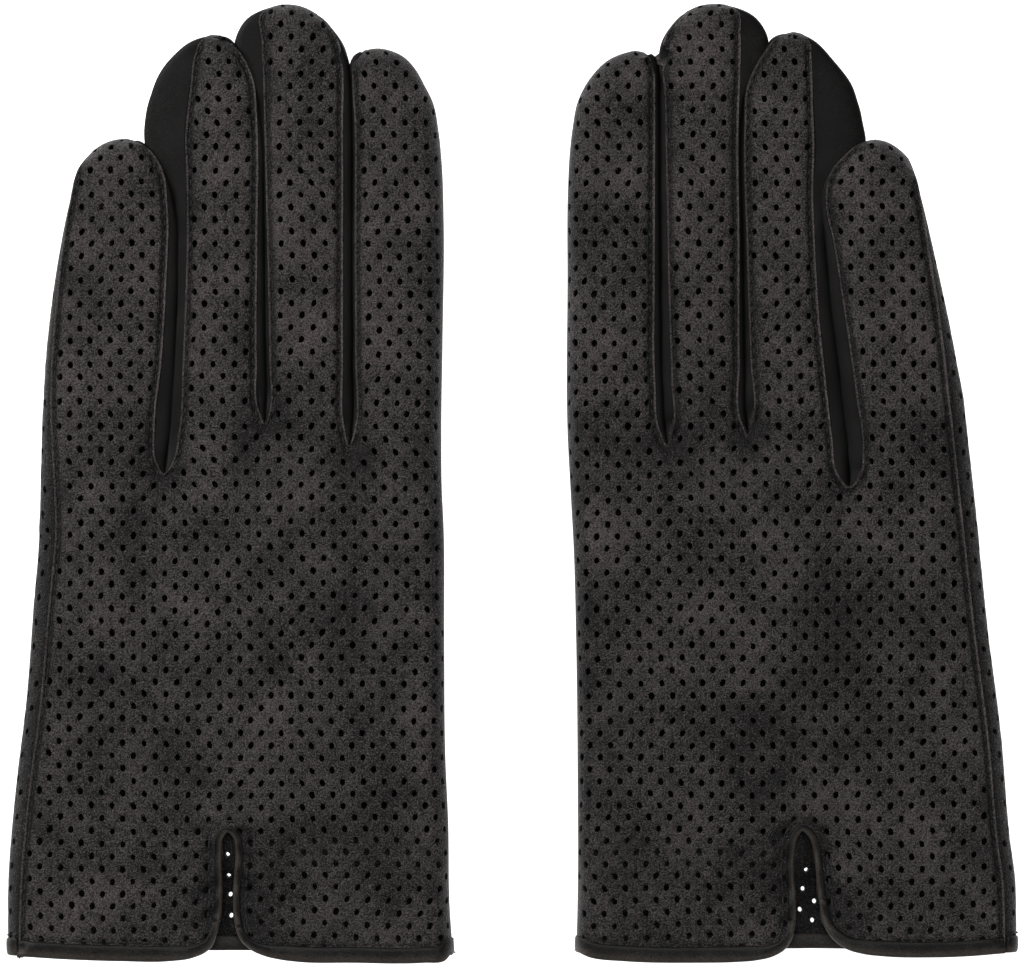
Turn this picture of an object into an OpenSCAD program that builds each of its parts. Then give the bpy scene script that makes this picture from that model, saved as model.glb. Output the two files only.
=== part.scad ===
// A pair of unlined leather driving gloves, lying flat with their backs up.
// Fingertips point along +Y, the pair is centred on X and it rests on Z = 0.
// Each glove is drawn as a right glove, u mm out from the middle of the pair,
// and the left glove is the same code mirrored, with its own measures.
// Lists of two hold the left glove's value first and the right glove's second.

/* [Pair] */
// Level at which all eight fingers bend, from the middle of the length
knuckle_y = 15.5; // [15:0.5:18]
// Lower edge of the hems
hem_y = -120; // [-124:1:-118]
// Depth of the hem binding
hem_depth = 3.8; // [3:0.2:6]

/* [Leather] */
// Thickness of the leather
skin = 0.9; // [0.7:0.1:1.2]
// Clear gap left between neighbouring pieces
gap = 0.1; // [0.05:0.05:0.2]
// Thickness of the sewing thread
thread = 0.5; // [0.4:0.1:0.6]

/* [Fingers] */
// Height of a finger lying flat
finger_h = 9.4; // [8:0.2:10]
// Reach of the index fingertips, left and right
index_tip = [108, 108]; // [100:0.5:112]
// Reach of the middle fingertips
middle_tip = [120, 120]; // [112:0.5:122]
// Reach of the ring fingertips
ring_tip = [112, 113]; // [104:0.5:118]
// Reach of the little fingertips
little_tip = [86, 85.5]; // [78:0.5:90]
// Length over which a fingertip rounds off
tip_round = 20; // [14:1:24]

/* [Hand] */
// Height of the cuff's mouth
cuff_h = 10; // [9:0.5:12]
// Height of the hand over the folded thumb
hand_h = 15.5; // [14.5:0.5:17]
// Level of the palm over the folded thumb
palm_raise = 7.4; // [7.2:0.1:8]

/* [Thumb] */
// Height of the thumb lying flat under the palm
thumb_h = 7; // [6.6:0.1:7]
// Thumb's pivot, out from the middle of the pair
thumb_u = 40; // [38:1:42]
// Thumb's pivot along the glove
thumb_y = -72; // [-74:1:-70]
// Length of the thumb past its pivot
thumb_len = 64; // [56:1:66]
// Half of the thumb's width
thumb_half = 14; // [12:0.5:15]
// Inward lean of the folded thumb
thumb_lean = 8; // [4:1:10]

/* [Vent] */
// Slit in the back, out from the middle of the pair
vent_u = [71, 73.4]; // [68:0.2:76]
// Upper end of the slit
vent_top = -86; // [-90:1:-80]
// Clear half width of the slit near its upper end
vent_half = [1.6, 2.2]; // [1.4:0.1:2.6]
// How much each edge flares at the hem
vent_flare = 1.6; // [1:0.2:2.4]

/* [Hidden] */
// How square a sleeve's cross-section is: 2 is an ellipse.
square = 6;
// Share of a sleeve's half width over which its top and bottom are spanned.
hand_span = 0.82;
finger_span = 0.78;
thumb_span = 0.75;
hem_span = 0.85;
// Last share across before a sleeve turns down its side.
turn_share = 0.96;
// Cross rows of a rounding tip, as shares of the rounding's length.
tip_steps = [0.3, 0.5, 0.68, 0.82, 0.9, 0.97];
last_fork_step = 0.82;
last_thread_step = 0.9;
// How far in from a hand's or finger's little-finger side its back ends.
seam_inset = 4;
// Share of the half width that parts the back from the palm along that seam.
hand_part = 0.003;
finger_part = 0.01;
// Room between a finger and the hand at the knuckles.
knuckle_gap = 0.3;
// How far outside the vent's roll its thread runs, and how high it stands.
vent_sewn = 1.4;
vent_thread_lift = 0.65;
// Height of the hem's thread above the hem binding's edge.
hem_sewn = 1.5;
// Half sizes of the hole where the thumb's sleeve is sewn in, and its thread's reach.
thumb_hole = [11, 15];
thumb_sewn = 3;
// Lowest rows of the thumb's two panels, from the pivot.
thumb_open = 13;
thumb_round = 20;
// Heights on a sleeve's side, from -1 below to 1 above, where panels are sewn.
seam_v = 0.8;
// Rim of the vent binding and of the hem, outside the leather.
rim = 1.2;
hem_proud = 0.4;
trank_y = hem_y + hem_depth + gap;

// Index-side and little-side edges of each hand, as pairs of Y and distance out.
inner_edge = [
    [[hem_y, 14.6], [-108, 16], [-60, 16.6], [0, 17.2], [knuckle_y, 17.6]],
    [[hem_y, 16], [-108, 16.6], [-60, 16.4], [0, 14.8], [knuckle_y, 14]]
];
outer_edge = [
    [[hem_y, 127], [-105, 125.4], [-60, 122.2], [0, 118.8], [knuckle_y, 117.5]],
    [[hem_y, 127], [-105, 125.4], [-60, 121.2], [0, 115.6], [knuckle_y, 114]]
];

// One row a finger: lane at the knuckle, lane where the tip starts to round,
// distance out of the tip, its reach, and the sides that hold a fourchette.
INDEX = 0;
MIDDLE = 1;
RING = 2;
LITTLE = 3;
finger = [
    [
        [[17.6, 39.8], [17.4, 39.2], 32, index_tip[0], [false, true]],
        [[41.8, 60.4], [42.4, 62.4], 56, middle_tip[0], [true, true]],
        [[62, 84], [64, 81.4], 75, ring_tip[0], [true, true]],
        [[86.8, 117.5], [86, 111.6], 96, little_tip[0], [true, false]]
    ],
    [
        [[14, 37.4], [14.4, 36.4], 30, index_tip[1], [false, true]],
        [[38.8, 57.6], [38.4, 57], 51, middle_tip[1], [true, true]],
        [[59.2, 82], [58.4, 77], 71, ring_tip[1], [true, true]],
        [[84.6, 114], [80, 105.6], 93, little_tip[1], [true, false]]
    ]
];

PIECES = [
    "hand_back", "hand_palm",
    "index_back", "middle_back", "ring_back", "little_back",
    "index_palm", "middle_palm", "ring_palm", "little_palm",
    "index_fourchette", "middle_index_fourchette", "middle_ring_fourchette",
    "ring_middle_fourchette", "ring_little_fourchette", "little_fourchette",
    "thumb_top", "thumb_underside", "hem_binding", "vent_binding",
    "hem_thread", "vent_thread", "side_seam_thread", "thumb_seam_thread",
    "index_thread", "middle_thread", "ring_thread", "little_thread"
];
SIDES = ["left", "right"];

// ---- small sums ----

function mix(a, b, t) = a + (b - a) * t;
function smooth(t) = let (c = min(1, max(0, t))) c * c * (3 - 2 * c);
function spread(a, b, n) = [for (i = [0:n]) mix(a, b, i / n)];

// A sleeve's cross-section: f runs across from -1 to 1 and v from below to above.
function squared(t) = pow(1 - pow(min(1, abs(t)), square), 1 / square);
function on_top(f) = [f, squared(f)];
function below(f) = [f, -squared(f)];
function inner_side(v) = [-squared(v), v];
function outer_side(v) = [squared(v), v];

// ---- the hand ----

// Share of the full lift over the thumb, 1 above its whole swing.
function over_thumb(u, y) =
    smooth((86 - u) / 18) * smooth((y + 104) / 16) * smooth((13 - y) / 15);
function flat_h(y) = mix(cuff_h, finger_h, (y - hem_y) / (knuckle_y - hem_y));
function palm_z(u, y) = palm_raise * over_thumb(u, y);
function back_z(u, y) = mix(flat_h(y), hand_h, over_thumb(u, y));
function hand_mid(g, y) = (lookup(y, inner_edge[g]) + lookup(y, outer_edge[g])) / 2;
function hand_half(g, y) = (lookup(y, outer_edge[g]) - lookup(y, inner_edge[g])) / 2;
function hand_f(g, u, y) = (u - hand_mid(g, y)) / hand_half(g, y);

// The point of the hand's sleeve at q = [f, v], set in by some distance.
function hand_at(g, y, q, inset) =
    let (
        u = hand_mid(g, y) + (hand_half(g, y) - inset) * q[0],
        lo = palm_z(u, y) + inset,
        hi = back_z(u, y) - inset
    )
    [u, y, mix(lo, hi, (q[1] + 1) / 2)];

slit_end_y = vent_top + rim + gap;
hand_rows = [
    trank_y, -111, -104, -99, -94, -88, slit_end_y, -74, -60, -46, -32, -18, -8,
    -2, 2, 6, 10, knuckle_y
];

// Clear half width of the slit, and of the gap that it leaves in the leather.
function slit_half(g, y) =
    vent_half[g] + vent_flare * pow(max(0, (vent_top - y) / (vent_top - hem_y)), 2);
function slit_edge(g, y, side) =
    hand_f(g, vent_u[g] + side * (slit_half(g, y) + rim + gap), y);
function hand_wrap(g, y) = 1 - seam_inset / hand_half(g, y);

side_steps = [0.03, 0.45, 0.75, 0.9];
function hand_back_path(g, y) = concat(
    [for (v = side_steps) inner_side(v)],
    [for (f = spread(-hand_span, slit_edge(g, y, -1), 6)) on_top(f)],
    [for (f = spread(slit_edge(g, y, 1), hand_wrap(g, y) - hand_part, 5)) on_top(f)]
);
function hand_palm_path(g, y) = concat(
    [for (f = spread(hand_wrap(g, y), turn_share, 1)) on_top(f)],
    [for (v = [0.6, 0.2, -0.2, -0.6]) outer_side(v)],
    [for (f = spread(turn_share, -hand_span, 14)) below(f)],
    [for (i = [len(side_steps) - 1:-1:0]) inner_side(-side_steps[i])]
);

// ---- the fingers ----

function lane(g, k, y, edge) =
    let (
        row = finger[g][k],
        t = (y - knuckle_y) / (row[3] - tip_round - knuckle_y)
    )
    mix(row[0][edge], row[1][edge], min(1, t));
function tip_share(g, k, y) =
    max(0, (y - (finger[g][k][3] - tip_round)) / tip_round);
function tip_shrink(s) = pow(1 - pow(min(1, s), 2.2), 1 / 2.2);

// The point of a finger's sleeve at q = [f, v]; its lane narrows to the tip.
function finger_at(g, k, y, q, inset) =
    let (
        keep = tip_shrink(tip_share(g, k, y)),
        a = mix(finger[g][k][2], lane(g, k, y, 0), keep),
        b = mix(finger[g][k][2], lane(g, k, y, 1), keep),
        lo = mix(1.2, 0, keep) + inset,
        hi = mix(3.4, finger_h, keep) - inset
    )
    [
        (a + b) / 2 + ((b - a) / 2 - inset) * q[0],
        y,
        mix(lo, hi, (q[1] + 1) / 2)
    ];

function finger_rows(g, k, last = 1) =
    let (tip = finger[g][k][3])
    concat(
        spread(knuckle_y + knuckle_gap, tip - tip_round, 3),
        [for (s = tip_steps) if (s <= last) tip - tip_round * (1 - s)]
    );
function finger_wrap(g, k, y) =
    let (half = (lane(g, k, y, 1) - lane(g, k, y, 0)) / 2 * tip_shrink(tip_share(g, k, y)))
    max(0.55, 1 - seam_inset / half);
function has_fork(k, edge) = finger[0][k][4][edge];

fold_steps = [0.03, 0.45, seam_v];
function finger_back_path(g, k, y) =
    let (
        first = has_fork(k, 0) ? [seam_v] : fold_steps,
        last = has_fork(k, 1) ? finger_span : finger_wrap(g, k, y) - finger_part
    )
    concat(
        [for (v = first) inner_side(v)],
        [for (f = spread(-finger_span, last, 4)) on_top(f)],
        has_fork(k, 1) ? [outer_side(seam_v)] : []
    );
function finger_palm_path(g, k, y) =
    let (wrap = finger_wrap(g, k, y))
    concat(
        has_fork(k, 1)
            ? [outer_side(-seam_v)]
            : concat(
                [for (f = [wrap, (wrap + turn_share) / 2]) on_top(f)],
                [for (v = [0.7, 0, -0.7]) outer_side(v)]
            ),
        [for (f = spread(finger_span, -finger_span, 4)) below(f)],
        has_fork(k, 0)
            ? [inner_side(-seam_v)]
            : [for (i = [len(fold_steps) - 1:-1:0]) inner_side(-fold_steps[i])]
    );
fork_steps = spread(-(seam_v - 0.02), seam_v - 0.02, 3);

// ---- the thumb, folded flat under the palm ----

function thumb_keep(r) = tip_shrink(max(0, (r - thumb_len + thumb_round) / thumb_round));
function thumb_at(r, q, inset) =
    let (
        keep = thumb_keep(r),
        side = (thumb_half * mix(1, 0.88, max(0, r) / thumb_len) * keep - inset) * q[0],
        lo = mix(1, 0, keep) + inset,
        hi = mix(3.2, thumb_h, keep) - inset
    )
    [
        thumb_u + side * cos(thumb_lean) + r * sin(thumb_lean),
        thumb_y - side * sin(thumb_lean) + r * cos(thumb_lean),
        mix(lo, hi, (q[1] + 1) / 2)
    ];
function thumb_rows(start) = concat(
    spread(start, thumb_len - thumb_round, 3),
    [for (s = tip_steps) thumb_len - thumb_round * (1 - s)]
);

// ---- solids ----

// A skin between two grids of points; cells for which open(r, c) is true are left out.
module panel(outer, inner, open = function (r, c) false) {
    rows = len(outer);
    cols = len(outer[0]);
    kept = function (r, c) r >= 0 && c >= 0 && r < rows - 1 && c < cols - 1 && !open(r, c);
    at = function (r, c) r * cols + c;
    under = rows * cols;
    points = concat([for (row = outer) each row], [for (row = inner) each row]);
    faces = [
        for (r = [0:rows - 2], c = [0:cols - 2]) if (kept(r, c))
            let (
                a = at(r, c),
                b = at(r + 1, c),
                d = at(r + 1, c + 1),
                e = at(r, c + 1)
            )
            each concat(
                [[a, b, d], [a, d, e]],
                [[under + a, under + d, under + b], [under + a, under + e, under + d]],
                kept(r - 1, c) ? [] : wall(a, e, under),
                kept(r + 1, c) ? [] : wall(d, b, under),
                kept(r, c - 1) ? [] : wall(b, a, under),
                kept(r, c + 1) ? [] : wall(e, d, under)
            )
    ];
    polyhedron(points, faces);
}
function wall(a, b, under) = [[a, b, under + b], [a, under + b, under + a]];

// A thin round strand along points that lie nearly level.
module strand(points, width, sides = 4, closed = false) {
    n = len(points);
    dir = function (i)
        let (
            to = points[closed ? (i + 1) % n : min(n - 1, i + 1)],
            from = points[closed ? (i + n - 1) % n : max(0, i - 1)]
        )
        (to - from) / norm(to - from);
    ring = [
        for (i = [0:n - 1])
            let (
                d = dir(i),
                out = [d[1], -d[0], 0] / norm([d[1], -d[0], 0]),
                up = cross(out, d)
            )
            for (j = [0:sides - 1])
                let (turn = 360 * (j + 0.5) / sides)
                points[i] + width / 2 * (cos(turn) * out + sin(turn) * up)
    ];
    spans = closed ? n : n - 1;
    skin_faces = [
        for (i = [0:spans - 1], j = [0:sides - 1])
            let (
                a = i * sides + j,
                b = i * sides + (j + 1) % sides,
                c = ((i + 1) % n) * sides + (j + 1) % sides,
                d = ((i + 1) % n) * sides + j
            )
            each [[a, b, c], [a, c, d]]
    ];
    ends = closed ? [] : concat(
        [for (j = [1:sides - 2]) [0, j + 1, j]],
        [for (j = [1:sides - 2]) [(n - 1) * sides, (n - 1) * sides + j, (n - 1) * sides + j + 1]]
    );
    polyhedron(ring, concat(skin_faces, ends));
}

module glove(g) {
    if (g == 0)
        mirror([1, 0, 0]) children();
    else
        children();
}

module hand_panel(g, paths, open = function (r, c) false) {
    panel(
        [for (i = [0:len(hand_rows) - 1]) [for (q = paths[i]) hand_at(g, hand_rows[i], q, 0)]],
        [for (i = [0:len(hand_rows) - 1]) [for (q = paths[i]) hand_at(g, hand_rows[i], q, skin)]],
        open
    );
}

module hand_back(g) {
    slit_col = len(side_steps) + 6;
    color([0.2, 0.19, 0.19])
        hand_panel(
            g,
            [for (y = hand_rows) hand_back_path(g, y)],
            function (r, c) c == slit_col && hand_rows[r + 1] <= slit_end_y
        );
}

// The palm has a hole where the thumb's sleeve is sewn in.
function in_thumb_hole(p) =
    abs(p[0] - thumb_u) < thumb_hole[0] && abs(p[1] - thumb_y) < thumb_hole[1];
module hand_palm(g) {
    paths = [for (y = hand_rows) hand_palm_path(g, y)];
    corner = function (r, c) hand_at(g, hand_rows[r], paths[r][c], 0);
    color([0.17, 0.16, 0.16])
        hand_panel(
            g,
            paths,
            function (r, c)
                paths[r][c][1] < 0 && in_thumb_hole((corner(r, c) + corner(r + 1, c + 1)) / 2)
        );
}

module finger_panel(g, k, paths, rows) {
    panel(
        [for (i = [0:len(rows) - 1]) [for (q = paths[i]) finger_at(g, k, rows[i], q, 0)]],
        [for (i = [0:len(rows) - 1]) [for (q = paths[i]) finger_at(g, k, rows[i], q, skin)]]
    );
}

module finger_back(g, k) {
    rows = finger_rows(g, k);
    color([0.21, 0.2, 0.2])
        finger_panel(g, k, [for (y = rows) finger_back_path(g, k, y)], rows);
}

module finger_palm(g, k) {
    rows = finger_rows(g, k);
    color([0.17, 0.16, 0.16])
        finger_panel(g, k, [for (y = rows) finger_palm_path(g, k, y)], rows);
}

// The plain strip let in along one side of a finger.
module fourchette(g, k, edge) {
    rows = finger_rows(g, k, last_fork_step);
    path = edge == 0
        ? [for (v = fork_steps) inner_side(v)]
        : [for (v = fork_steps) outer_side(-v)];
    color([0.1, 0.09, 0.09])
        finger_panel(g, k, [for (y = rows) path], rows);
}

// The rows of stitches along the back seams of a finger.
function finger_seam_f(g, k, y, edge) =
    edge == 0 ? -finger_span : has_fork(k, 1) ? finger_span : finger_wrap(g, k, y);
module finger_thread(g, k) {
    rows = finger_rows(g, k, last_thread_step);
    color([0.06, 0.06, 0.06])
        for (edge = [0, 1])
            if (edge == 1 || has_fork(k, 0))
                strand(
                    [
                        for (y = rows)
                            finger_at(g, k, y, on_top(finger_seam_f(g, k, y, edge)), -(thread / 2 + gap))
                    ],
                    thread
                );
}

module thumb_shell(start, path) {
    rows = thumb_rows(start);
    color([0.18, 0.17, 0.17])
        panel(
            [for (r = rows) [for (q = path) thumb_at(r, q, 0)]],
            [for (r = rows) [for (q = path) thumb_at(r, q, skin)]]
        );
}

thumb_sides = [0.03, 0.45, 0.8];
module thumb_top() {
    thumb_shell(
        thumb_open,
        concat(
            [for (v = thumb_sides) inner_side(v)],
            [for (f = spread(-thumb_span, thumb_span, 4)) on_top(f)],
            [for (i = [2:-1:0]) outer_side(thumb_sides[i])]
        )
    );
}

module thumb_underside() {
    thumb_shell(
        -thumb_open,
        concat(
            [for (v = thumb_sides) outer_side(-v)],
            [for (f = spread(thumb_span, -thumb_span, 4)) below(f)],
            [for (i = [2:-1:0]) inner_side(-thumb_sides[i])]
        )
    );
}

// A flat band folded round the cuff's lower edge, open at the slit.
function hem_f(g, y, side) = hand_f(g, vent_u[g] + side * (slit_half(g, y) + gap), y);
module hem_binding(g) {
    band = function (y, inset) [
        for (q = concat(
            [for (f = spread(hem_f(g, y, 1), hem_span, 4)) on_top(f)],
            [for (v = [0.8, 0.4, 0, -0.4, -0.8]) outer_side(v)],
            [for (f = spread(hem_span, -hem_span, 10)) below(f)],
            [for (v = [-0.8, -0.4, 0, 0.4, 0.8]) inner_side(v)],
            [for (f = spread(-hem_span, hem_f(g, y, -1), 6)) on_top(f)]
        )) hand_at(g, y, q, inset)
    ];
    rows = [hem_y, hem_y + hem_depth];
    color([0.13, 0.11, 0.1])
        panel([for (y = rows) band(y, 0)], [for (y = rows) band(y, skin + hem_proud)]);
}

function on_back(g, u, y, lift) = hand_at(g, y, on_top(hand_f(g, u, y)), 0) + [0, 0, lift];

// The outline of the slit from start_y up and down again, outside its clear width.
function slit_line(g, out, lift, start_y) =
    let (
        centre_y = vent_top - vent_half[g],
        ys = spread(start_y, centre_y, 6)
    )
    concat(
        [for (y = ys) on_back(g, vent_u[g] - slit_half(g, y) - out, y, lift)],
        [for (a = [150, 120, 90, 60, 30]) on_back(
            g,
            vent_u[g] + (vent_half[g] + out) * cos(a),
            centre_y + (vent_half[g] + out) * sin(a),
            lift
        )],
        [for (i = [6:-1:0]) on_back(g, vent_u[g] + slit_half(g, ys[i]) + out, ys[i], lift)]
    );

// A narrow rolled edge round the slit.
module vent_binding(g) {
    color([0.12, 0.11, 0.1])
        strand(slit_line(g, rim / 2, -skin / 2, trank_y + gap), rim, 6);
}

// The dashed row round the slit, which ends clear above the hem's.
hem_stitch_y = trank_y + hem_sewn;
module vent_thread(g) {
    color([0.06, 0.06, 0.06])
        strand(slit_line(g, rim + vent_sewn, vent_thread_lift, hem_stitch_y + 3 * thread), thread);
}

// The dashed row above the hem, on both halves of the back.
module hem_thread(g) {
    path = hand_back_path(g, hem_stitch_y);
    near = len(side_steps) + 6;
    color([0.06, 0.06, 0.06])
        for (part = [[2, near], [near + 1, len(path) - 2]])
            strand(
                [for (i = [part[0]:part[1]]) hand_at(g, hem_stitch_y, path[i], -(thread / 2 + 2 * gap))],
                thread
            );
}

// The seam that joins the back to the palm along the little-finger side.
module side_seam_thread(g) {
    color([0.06, 0.06, 0.06])
        strand(
            [for (y = hand_rows) hand_at(g, y, on_top(hand_wrap(g, y)), -(thread / 2 + 2 * gap))],
            thread
        );
}

// The seam round the thumb hole, inside the hand.
module thumb_seam_thread(g) {
    color([0.06, 0.06, 0.06])
        strand(
            [
                for (i = [0:15])
                    [
                        thumb_u + (thumb_hole[0] + thumb_sewn) * cos(22.5 * i),
                        thumb_y + (thumb_hole[1] + thumb_sewn) * sin(22.5 * i),
                        palm_raise + skin + thread / 2 + 4 * gap
                    ]
            ],
            thread,
            closed = true
        );
}

module piece(g, name) {
    glove(g) {
        if (name == "hand_back") hand_back(g);
        if (name == "hand_palm") hand_palm(g);
        if (name == "index_back") finger_back(g, INDEX);
        if (name == "middle_back") finger_back(g, MIDDLE);
        if (name == "ring_back") finger_back(g, RING);
        if (name == "little_back") finger_back(g, LITTLE);
        if (name == "index_palm") finger_palm(g, INDEX);
        if (name == "middle_palm") finger_palm(g, MIDDLE);
        if (name == "ring_palm") finger_palm(g, RING);
        if (name == "little_palm") finger_palm(g, LITTLE);
        if (name == "index_fourchette") fourchette(g, INDEX, 1);
        if (name == "middle_index_fourchette") fourchette(g, MIDDLE, 0);
        if (name == "middle_ring_fourchette") fourchette(g, MIDDLE, 1);
        if (name == "ring_middle_fourchette") fourchette(g, RING, 0);
        if (name == "ring_little_fourchette") fourchette(g, RING, 1);
        if (name == "little_fourchette") fourchette(g, LITTLE, 0);
        if (name == "thumb_top") thumb_top();
        if (name == "thumb_underside") thumb_underside();
        if (name == "hem_binding") hem_binding(g);
        if (name == "vent_binding") vent_binding(g);
        if (name == "hem_thread") hem_thread(g);
        if (name == "vent_thread") vent_thread(g);
        if (name == "side_seam_thread") side_seam_thread(g);
        if (name == "thumb_seam_thread") thumb_seam_thread(g);
        if (name == "index_thread") finger_thread(g, INDEX);
        if (name == "middle_thread") finger_thread(g, MIDDLE);
        if (name == "ring_thread") finger_thread(g, RING);
        if (name == "little_thread") finger_thread(g, LITTLE);
    }
}

for (g = [0, 1], p = PIECES)
    piece(g, p);
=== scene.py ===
"""The finish of a pair of perforated leather driving gloves, laid palm down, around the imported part.

Each glove is drawn as a right glove in millimetres: u runs from the gap between the gloves to the little
finger's side, y from the hem to the fingertips and z up. The left glove is the mirror image.
Leather panels are cut flat, with their holes punched, then rolled over the hand's shape.
The outlines and heights are held here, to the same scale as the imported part, and don't follow it
if its sizes change.
"""

from __future__ import annotations

import logging
import math
from dataclasses import dataclass, field
from enum import Enum
from typing import Any, Callable, Sequence

import bpy
import numpy as np
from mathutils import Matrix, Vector, noise
from mathutils.geometry import delaunay_2d_cdt
from mathutils.kdtree import KDTree

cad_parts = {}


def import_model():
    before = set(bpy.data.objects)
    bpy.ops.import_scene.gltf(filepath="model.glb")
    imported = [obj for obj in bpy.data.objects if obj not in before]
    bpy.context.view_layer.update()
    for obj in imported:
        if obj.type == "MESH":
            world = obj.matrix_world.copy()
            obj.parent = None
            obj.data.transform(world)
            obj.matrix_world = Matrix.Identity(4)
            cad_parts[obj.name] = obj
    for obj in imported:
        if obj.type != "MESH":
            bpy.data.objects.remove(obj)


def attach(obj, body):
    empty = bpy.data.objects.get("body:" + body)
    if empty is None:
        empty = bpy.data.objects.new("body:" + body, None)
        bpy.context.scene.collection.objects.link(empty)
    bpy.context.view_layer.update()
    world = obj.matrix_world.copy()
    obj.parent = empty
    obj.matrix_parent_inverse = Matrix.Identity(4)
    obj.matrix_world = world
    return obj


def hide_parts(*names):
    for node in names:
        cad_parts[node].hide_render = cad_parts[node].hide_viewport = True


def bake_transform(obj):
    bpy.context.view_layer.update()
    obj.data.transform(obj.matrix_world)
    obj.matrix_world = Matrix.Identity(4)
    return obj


LOG = logging.getLogger("gloves")
MM = 0.001
FINGERS = ("index", "middle", "ring", "little")
Array = np.ndarray
Faces = list[tuple[int, ...]]

# Millimetres, drawn as on a right glove.
KNUCKLE_Y = 15.5
EDGE_STEP = 0.85
CORNER_GAP = 1.5
EASINGS = 14
REACH_PAST = 2.5
SEAM_PITCH, HEM_PITCH = 2.6, 3.0
SEAM_INSET, VENT_INSET, HEM_INSET = 1.0, 2.9, 4.5
# Columns of an edge's table, after u and y.
TURN, SEWN, CROSSES = 2, 5, 6
# Kinds of a panel's flat points. A hole's rim has the hole's number, from 0.
ON_EDGE, FREE = -1, -2


# ---------------------------------------------------------------- shapes and sums


def smooth(value: Array | float) -> Array | float:
    """Ease from 0 to 1."""
    x = np.clip(value, 0.0, 1.0)
    return x * x * (3.0 - 2.0 * x)


def mix(a: Array | float, b: Array | float, share: Array | float) -> Array | float:
    """Blend of a and b."""
    return a + (b - a) * share


def unit(vectors: Array) -> Array:
    """Vectors brought to length 1."""
    return vectors / np.maximum(np.linalg.norm(vectors, axis=-1, keepdims=True), 1e-9)


def curve(points: Sequence[Sequence[float]], step: float) -> tuple[Array, Array]:
    """A smooth curve through given points.

    Args:
        points: the points, in two or more coordinates.
        step: the distance between samples.

    Returns:
        The samples, and for each the number of the interval that it lies in.
    """
    knots = np.asarray(points, float)
    chord = np.maximum(np.linalg.norm(np.diff(knots, axis=0), axis=1), 1e-6)
    at = np.concatenate([[0.0], np.cumsum(chord)])
    pull = np.diff(knots, axis=0) / chord[:, None]
    slope = np.empty_like(knots)
    slope[0], slope[-1] = pull[0], pull[-1]
    before, after = chord[:-1, None], chord[1:, None]
    slope[1:-1] = (pull[:-1] * after + pull[1:] * before) / (before + after)
    samples = np.linspace(0.0, at[-1], max(int(at[-1] / step), 2) + 1)
    i = np.clip(np.searchsorted(at, samples, side="right") - 1, 0, len(chord) - 1)
    h = chord[i][:, None]
    x = ((samples - at[i]) / chord[i])[:, None]
    out = (2 * x**3 - 3 * x**2 + 1) * knots[i] + (x**3 - 2 * x**2 + x) * h * slope[i]
    out += (3 * x**2 - 2 * x**3) * knots[i + 1] + (x**3 - x**2) * h * slope[i + 1]
    return out, i


def rumple(points: Array, scale: float, seed: float) -> Array:
    """Soft uneven relief, about -1 to 1, with lumps of about the scale in mm."""
    return np.array([noise.noise(Vector((p[0] / scale, p[1] / scale, seed))) for p in points])


def corner_normals(points: Array, triangles: Array) -> Array:
    """Normal at each point, from the triangles around it."""
    a, b, c = (points[triangles[:, k]] for k in range(3))
    face = np.cross(b - a, c - a)
    out = np.zeros_like(points)
    for k in range(3):
        np.add.at(out, triangles[:, k], face)
    return unit(out)


@dataclass(frozen=True)
class Span:
    """One stretch of a panel's edge.

    turn is how far the leather rolls over before its edge, in degrees; radius is that roll's, in mm.
    Two values are those at the span's start and end.
    sunk is how hard its stitches pull it down, and sewn how far in from the edge they run.
    """

    name: str
    points: tuple[tuple[float, float], ...]
    turn: float | tuple[float, float] = 0.0
    radius: float | tuple[float, float] = 4.6
    sunk: float = 0.0
    sewn: float = 1.0

    def at(self, share: float) -> tuple[float, float, float, float]:
        """Turn in radians, radius, sunk and sewn, a share of the way along the span."""
        turn, radius = (
            mix(value[0], value[1], share) if isinstance(value, tuple) else value
            for value in (self.turn, self.radius)
        )
        return math.radians(turn), radius, self.sunk, self.sewn


@dataclass
class Hem:
    """Sizes of the hem and the vent, in mm."""

    band: float = 3.7
    roll: float = 1.5


@dataclass
class Chain:
    """Samples of one stretch of an edge: table rows, outward directions, flat places and span names."""

    table: Array
    outward: Array
    flat: Array
    names: list[str]

    def cross(self, cut: float) -> None:
        """Place a sample exactly wherever the flat edge crosses the level of the cut."""
        rise = self.flat[:, 1] - cut
        for k in np.nonzero(rise[:-1] * rise[1:] < 0)[0][::-1]:
            part = rise[k] / (rise[k] - rise[k + 1])
            self.table = np.insert(self.table, k + 1, mix(self.table[k], self.table[k + 1], part), axis=0)
            self.table[k + 1, CROSSES] = 1.0
            outward = unit(mix(self.outward[k], self.outward[k + 1], part))
            self.outward = np.insert(self.outward, k + 1, outward, axis=0)
            self.flat = np.insert(self.flat, k + 1, mix(self.flat[k], self.flat[k + 1], part), axis=0)
            self.flat[k + 1, 1] = cut
            self.names.insert(k + 1, self.names[k])

    def corner(self, following: "Chain", step: float, name: str) -> "Chain | None":
        """Bridge the gap to the next chain.

        Args:
            following: the chain that starts on the gap's far side.
            step: distance between samples.
            name: the corner's span name.

        Returns:
            The corner's samples, or None where the two chains all but meet.
        """
        start, end = self.flat[-1], following.flat[0]
        gap = float(np.linalg.norm(end - start))
        if gap < CORNER_GAP:
            return None
        shares = np.linspace(0.03, 0.97, max(int(gap / step), 3))[:, None]
        ends = (self.table[-1], following.table[0])
        table = np.tile(ends[0] if ends[0][TURN] < ends[1][TURN] else ends[1], (len(shares), 1))
        table[:, :2] = mix(ends[0][:2], ends[1][:2], shares)
        table[:, CROSSES] = 0.0
        along = (end - start) / gap
        outward = np.tile((along[1], -along[0]), (len(shares), 1))
        return Chain(table, outward, mix(start, end, shares), [name] * len(shares))


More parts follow.
